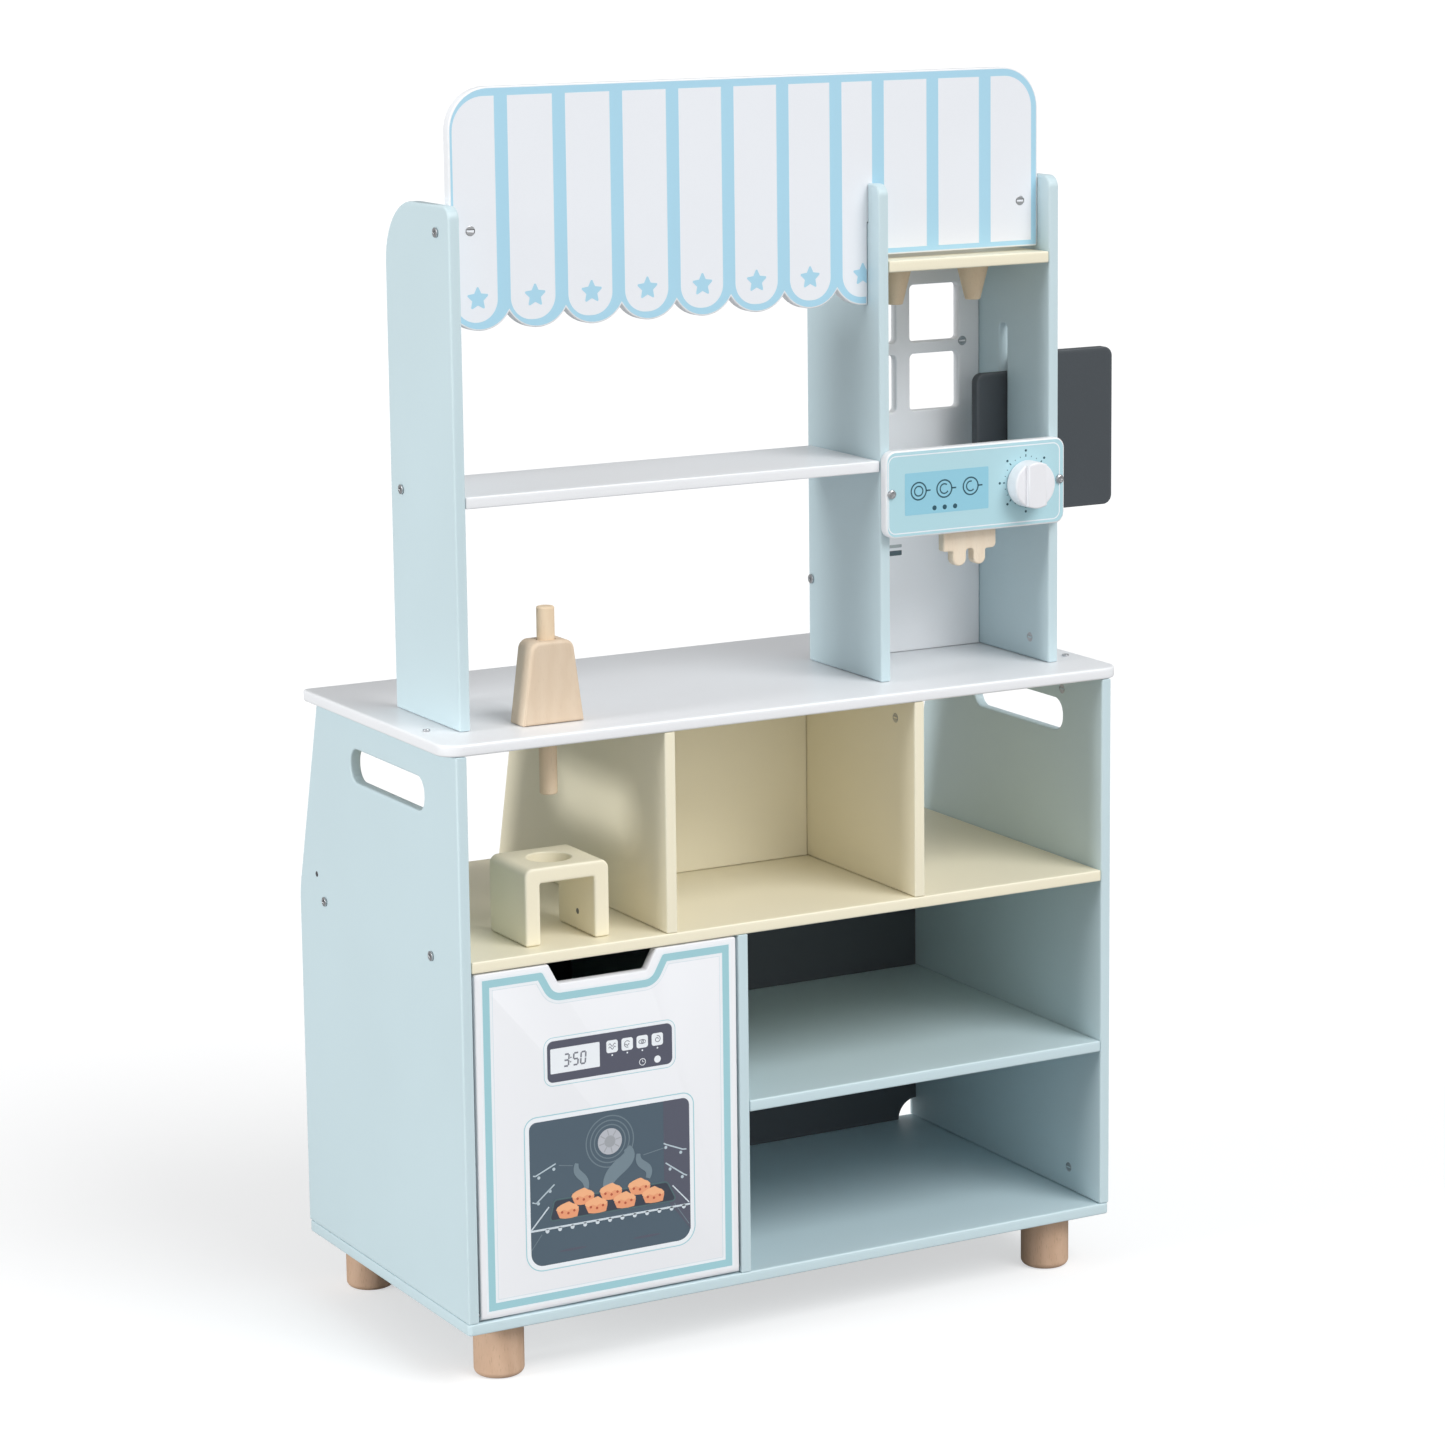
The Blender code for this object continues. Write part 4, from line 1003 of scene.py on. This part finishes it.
# %% Cone stand
lo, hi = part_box("cone_stand")
LEG, ROOF = 12.85 * MM, 12.4 * MM
arch = [(lo.x, lo.z, 2 * MM), (lo.x + LEG, lo.z, 2 * MM), (lo.x + LEG, hi.z - ROOF, 1.5 * MM),
        (hi.x - LEG, hi.z - ROOF, 1.5 * MM), (hi.x - LEG, lo.z, 2 * MM), (hi.x, lo.z, 2 * MM),
        (hi.x, hi.z, 7 * MM), (lo.x, hi.z, 7 * MM)]
shell = board("y", [arch], lo.y, hi.y, 1.8 * MM)
stand = finish_piece("cone_stand_painted", [shell], cream, "cone_stand", "cone_stand")
CONE_Y, CONE_R = lo.y + 31.6 * MM, 17.5 * MM
drill(stand, ((lo.x + hi.x) / 2, CONE_Y), hi.z - ROOF - 4 * MM, hi.z, CONE_R, 1.2 * MM)

# %% Menu board and chalkboard back
lo, hi = menu_lo, menu_hi
post_lo, post_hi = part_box("upright_right")
inner, outer, sill = post_lo.x - 0.3 * MM, post_hi.x + 0.3 * MM, post_lo.z + 142.7 * MM
menu = [(lo.x, lo.z + 14.9 * MM, 8 * MM), (inner, lo.z + 14.9 * MM, 0.8 * MM), (inner, sill, 0.5 * MM),
        (outer, sill, 0.5 * MM), (outer, lo.z, 0.8 * MM), (hi.x, lo.z, 8 * MM), (hi.x, hi.z, 8 * MM),
        (outer, hi.z, 2 * MM), (outer, hi.z - 14.9 * MM, 0.5 * MM), (lo.x, hi.z - 14.9 * MM, 8 * MM)]
shell = board("y", [menu], lo.y, hi.y, 1.1 * MM)
finish_piece("menu_board_painted", [shell], slate, "menu_board", "menu_board")
lo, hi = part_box("chalk_back")
NOTCH_R = 18 * MM
a = math.pi - np.linspace(0, math.pi / 2, 12)
bite = np.stack([hi.x + NOTCH_R * np.cos(a), lo.z + NOTCH_R * np.sin(a), 0 * a], 1)
back_outline = np.concatenate([[(lo.x, lo.z, 0)], bite, [(hi.x, hi.z, 0), (lo.x, hi.z, 0)]])
shell = board("y", [back_outline], lo.y, hi.y, 0.8 * MM)
finish_piece("chalk_back_painted", [shell], slate, "cabinet", "chalk_back")

# %% [markdown]
# ## Feet and fittings
# Four turned beech feet carry the base. Machine bolts with hexagon sockets go through the side boards into
# barrel nuts, whose slotted ends show as small discs. Two domed screws hold the coffee panel, and three
# small dark pins are let into the sides and the cone stand.

# %% Feet
for node in ("foot_front_left", "foot_front_right", "foot_back_left", "foot_back_right"):
    lo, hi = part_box(node)
    r, top = (hi.x - lo.x) / 2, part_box("base_board")[0].z - 0.2 * MM
    foot = [(0, lo.z, 0), (r, lo.z, 5 * MM), (r, top, 0.6 * MM), (0, top, 0)]
    shell = lathe("z", ((lo.x + hi.x) / 2, (lo.y + hi.y) / 2), foot, 96)
    finish_piece(node + "_turned", [shell], beech, "cabinet", node)

# %% Socket bolts
def facing(node):
    """Axis, side of the head, face height, and centre of a bolt or nut, from its box: the head looks away
    from the middle of the kitchen, or up on the counter."""
    lo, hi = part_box(node)
    size = hi - lo
    axis = 2 if "counter" in node else max(range(3), key=lambda i: size[i])
    centre = (lo + hi) / 2
    side = 1 if axis == 2 or centre[axis] > 0 else -1
    if node in ("bolt_bay_middle", "bolt_shelf_left"):
        side = -1
    face = hi[axis] if side > 0 else lo[axis]
    u, v = [centre[i] for i in range(3) if i != axis]
    return "xyz"[axis], side, face, (u, v)


def span(a, b):
    return (a, b) if a < b else (b, a)


SIX = 6
HEAD_R, COUNTER_HEAD_R, SOCKET_R, SHANK_R = 3.9 * MM, 2.9 * MM, 1.75 * MM, 2.6 * MM
for node in sorted(n for n in nodes if n.startswith("bolt_")):
    axis, side, face, at = facing(node)
    head, depth = 1.35 * MM * side, 1.05 * MM * side
    socket = circle(*at, SOCKET_R, SIX)
    r = COUNTER_HEAD_R if "counter" in node else HEAD_R
    tip = face - depth - 8 * MM * side
    ends = span(face - head, face)
    shells = [board(axis, [circle(*at, r, 40), hole(socket)], *ends, 0.35 * MM, 0.4 * MM, 3),
              board(axis, [circle(*at, SHANK_R, 24)], *span(tip, face - depth), 0)]
    finish_piece(node + "_turned", shells, zinc, "cabinet", node)
print("bolts done", len(made))

# %% Barrel nuts and domed screws
NUT_R, SLOT_HALF, SLOT_W = 4.0 * MM, 3.1 * MM, 0.6 * MM
for node in sorted(n for n in nodes if n.startswith("nut_")):
    lo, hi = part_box(node)
    size = hi - lo
    axis = 1 if node in ("nut_awning_left", "nut_awning_right", "nut_bay") else 0
    centre = (lo + hi) / 2
    face = lo[axis]
    at = [centre[i] for i in range(3) if i != axis]
    u, v = at
    way = "xyz"[axis]
    slot = rect(u - SLOT_HALF, u + SLOT_HALF, v - SLOT_W, v + SLOT_W)
    shells = [board(way, [circle(u, v, NUT_R, 40), hole(slot)], face, face + 1.6 * MM, 0.4 * MM, 0.3 * MM, 3),
              board(way, [circle(u, v, NUT_R - 0.2 * MM, 32)], face + 1.0 * MM, face + 6.5 * MM, 0)]
    finish_piece(node + "_turned", shells, zinc, "cabinet", node)
for node in ("screw_fascia_left", "screw_fascia_right"):
    lo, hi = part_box(node)
    at = ((lo.x + hi.x) / 2, (lo.z + hi.z) / 2)
    r, rear, tip = (hi.x - lo.x) / 2, fascia_lo.y - 0.02 * MM, lo.y
    dome = [(r, rear, 0.0), (r * 0.92, tip + 0.8 * MM, 1.0 * MM), (r * 0.62, tip + 0.15 * MM, 0.5 * MM)]
    arm, half = 1.9 * MM, 0.42 * MM
    cross = np.array([(half, -arm), (half, -half), (arm, -half), (arm, half), (half, half), (half, arm),
                      (-half, arm), (-half, half), (-arm, half), (-arm, -half), (-half, -half),
                      (-half, -arm)])
    cross = np.concatenate([cross + at, np.zeros((12, 1))], 1)
    shells = [lathe("y", at, [(0, rear + 1 * MM, 0), (r * 0.5, rear + 1 * MM, 0), (r * 0.5, rear, 0), *dome,
                              (0, tip + 0.5 * MM, 0)], 40),
              board("y", [circle(*at, r * 0.70, 40), hole(cross)], tip, tip + 0.9 * MM, 0.25 * MM, 0.2 * MM,
                    3)]
    finish_piece(node + "_turned", shells, zinc, "cabinet", node)

# %% Small pins: one low at the back of each side, and one across the cone stand's leg
SIDE_X, SIDE_PIN = 295.9 * MM, (CAB_Y + 271.5 * MM, 357.5 * MM)
LEG_PIN = (CAB_Y + 48.9 * MM, 357.7 * MM)
for name, side in (("pin_side_left", -1), ("pin_side_right", 1)):
    proud = CAB_X + side * SIDE_X + side * 0.3 * MM
    ends = span(proud - side * 4 * MM, proud)
    shell = board("x", [circle(*SIDE_PIN, 2.3 * MM, 32)], *ends, 0.3 * MM, 0.4 * MM, 3)
    finish_piece(name, [shell], dark_zinc, "cabinet")
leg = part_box("cone_stand")[1].x - LEG
shell = board("x", [circle(*LEG_PIN, 2.4 * MM, 32)], leg - 0.1 * MM, leg + 5 * MM, 0.2 * MM, 0.3 * MM, 3)
finish_piece("pin_cone_stand", [shell], dark_zinc, "cone_stand")

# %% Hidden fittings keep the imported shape
HIDDEN = {"hinge_pin_left": zinc, "hinge_pin_right": zinc, "keeper_disc": zinc, "door_magnet": dark_zinc,
          "knob_shaft": zinc, "door_stop": black}
for node, mat in HIDDEN.items():
    nodes[node].data.materials.clear()
    nodes[node].data.materials.append(mat)
print("pieces", len(made))

# %% [markdown]
# ## Light and floor
# The kitchen stands in a white studio. One broad source high at the front right lights the fronts and the
# tops. A weak one low at the front reaches the back walls of the bay and the cubbies, under the shelves.
# A third at the left lights the outer sides, and the side panels keep it out of the compartments. What the
# lens sees of the room and floor is near white, and what lights the boards is weaker.

# %% Floor, world and lamps
def broad_light(name, azimuth, elevation, strength, spread):
    """A distant source. Azimuth is measured from the front, to the right, and elevation from the floor."""
    az, el = math.radians(azimuth), math.radians(elevation)
    towards = Vector((math.sin(az) * math.cos(el), -math.cos(az) * math.cos(el), math.sin(el)))
    lamp = bpy.data.lights.new(name, "SUN")
    lamp.energy, lamp.angle = strength, math.radians(spread)
    obj = bpy.data.objects.new(name, lamp)
    obj.rotation_euler = towards.to_track_quat("Z", "Y").to_euler()
    bpy.context.scene.collection.objects.link(obj)


def seen_or_lighting(tree, seen, lighting):
    """One shader for what the lens sees directly, and another for what lights the rest."""
    ray = add(tree, "ShaderNodeLightPath").outputs["Is Camera Ray"]
    return add(tree, "ShaderNodeMixShader", {0: ray, 1: lighting, 2: seen}).outputs[0]


world = bpy.data.worlds.new("studio")
world.use_nodes = True
bpy.context.scene.world = world
tree = world.node_tree
tree.nodes.clear()
room = [add(tree, "ShaderNodeBackground", {"Color": (1, 1, 1, 1), "Strength": strength}).outputs[0]
        for strength in (1.02, 0.46)]
tree.links.new(seen_or_lighting(tree, *room), add(tree, "ShaderNodeOutputWorld").inputs["Surface"])
broad_light("front_light", 22, 45, 1.85, 34)
broad_light("low_light", 6, 6, 0.55, 50)
broad_light("left_light", -91, 12, 1.95, 16)
floor_mesh = bpy.data.meshes.new("floor")
floor_mesh.from_pydata([(-30, -30, 0), (30, -30, 0), (30, 30, 0), (-30, 30, 0)], [], [(0, 1, 2, 3)])
floor = bpy.data.objects.new("floor", floor_mesh)
floor_paint, tree, shader = new_material("floor_paint")
tree.nodes.remove(shader)
lit, dim = [add(tree, "ShaderNodeBsdfDiffuse", {"Color": (c, c, c, 1)}).outputs[0] for c in (0.5, 0.4)]
glow = add(tree, "ShaderNodeEmission", {"Color": (0.985, 0.992, 1, 1), "Strength": 0.56}).outputs[0]
seen = add(tree, "ShaderNodeAddShader", {0: lit, 1: glow}).outputs[0]
tree.links.new(seen_or_lighting(tree, seen, dim), tree.nodes["Material Output"].inputs["Surface"])
floor_mesh.materials.append(floor_paint)
bpy.context.scene.collection.objects.link(floor)
view = bpy.context.scene.view_settings
view.view_transform = "Standard"
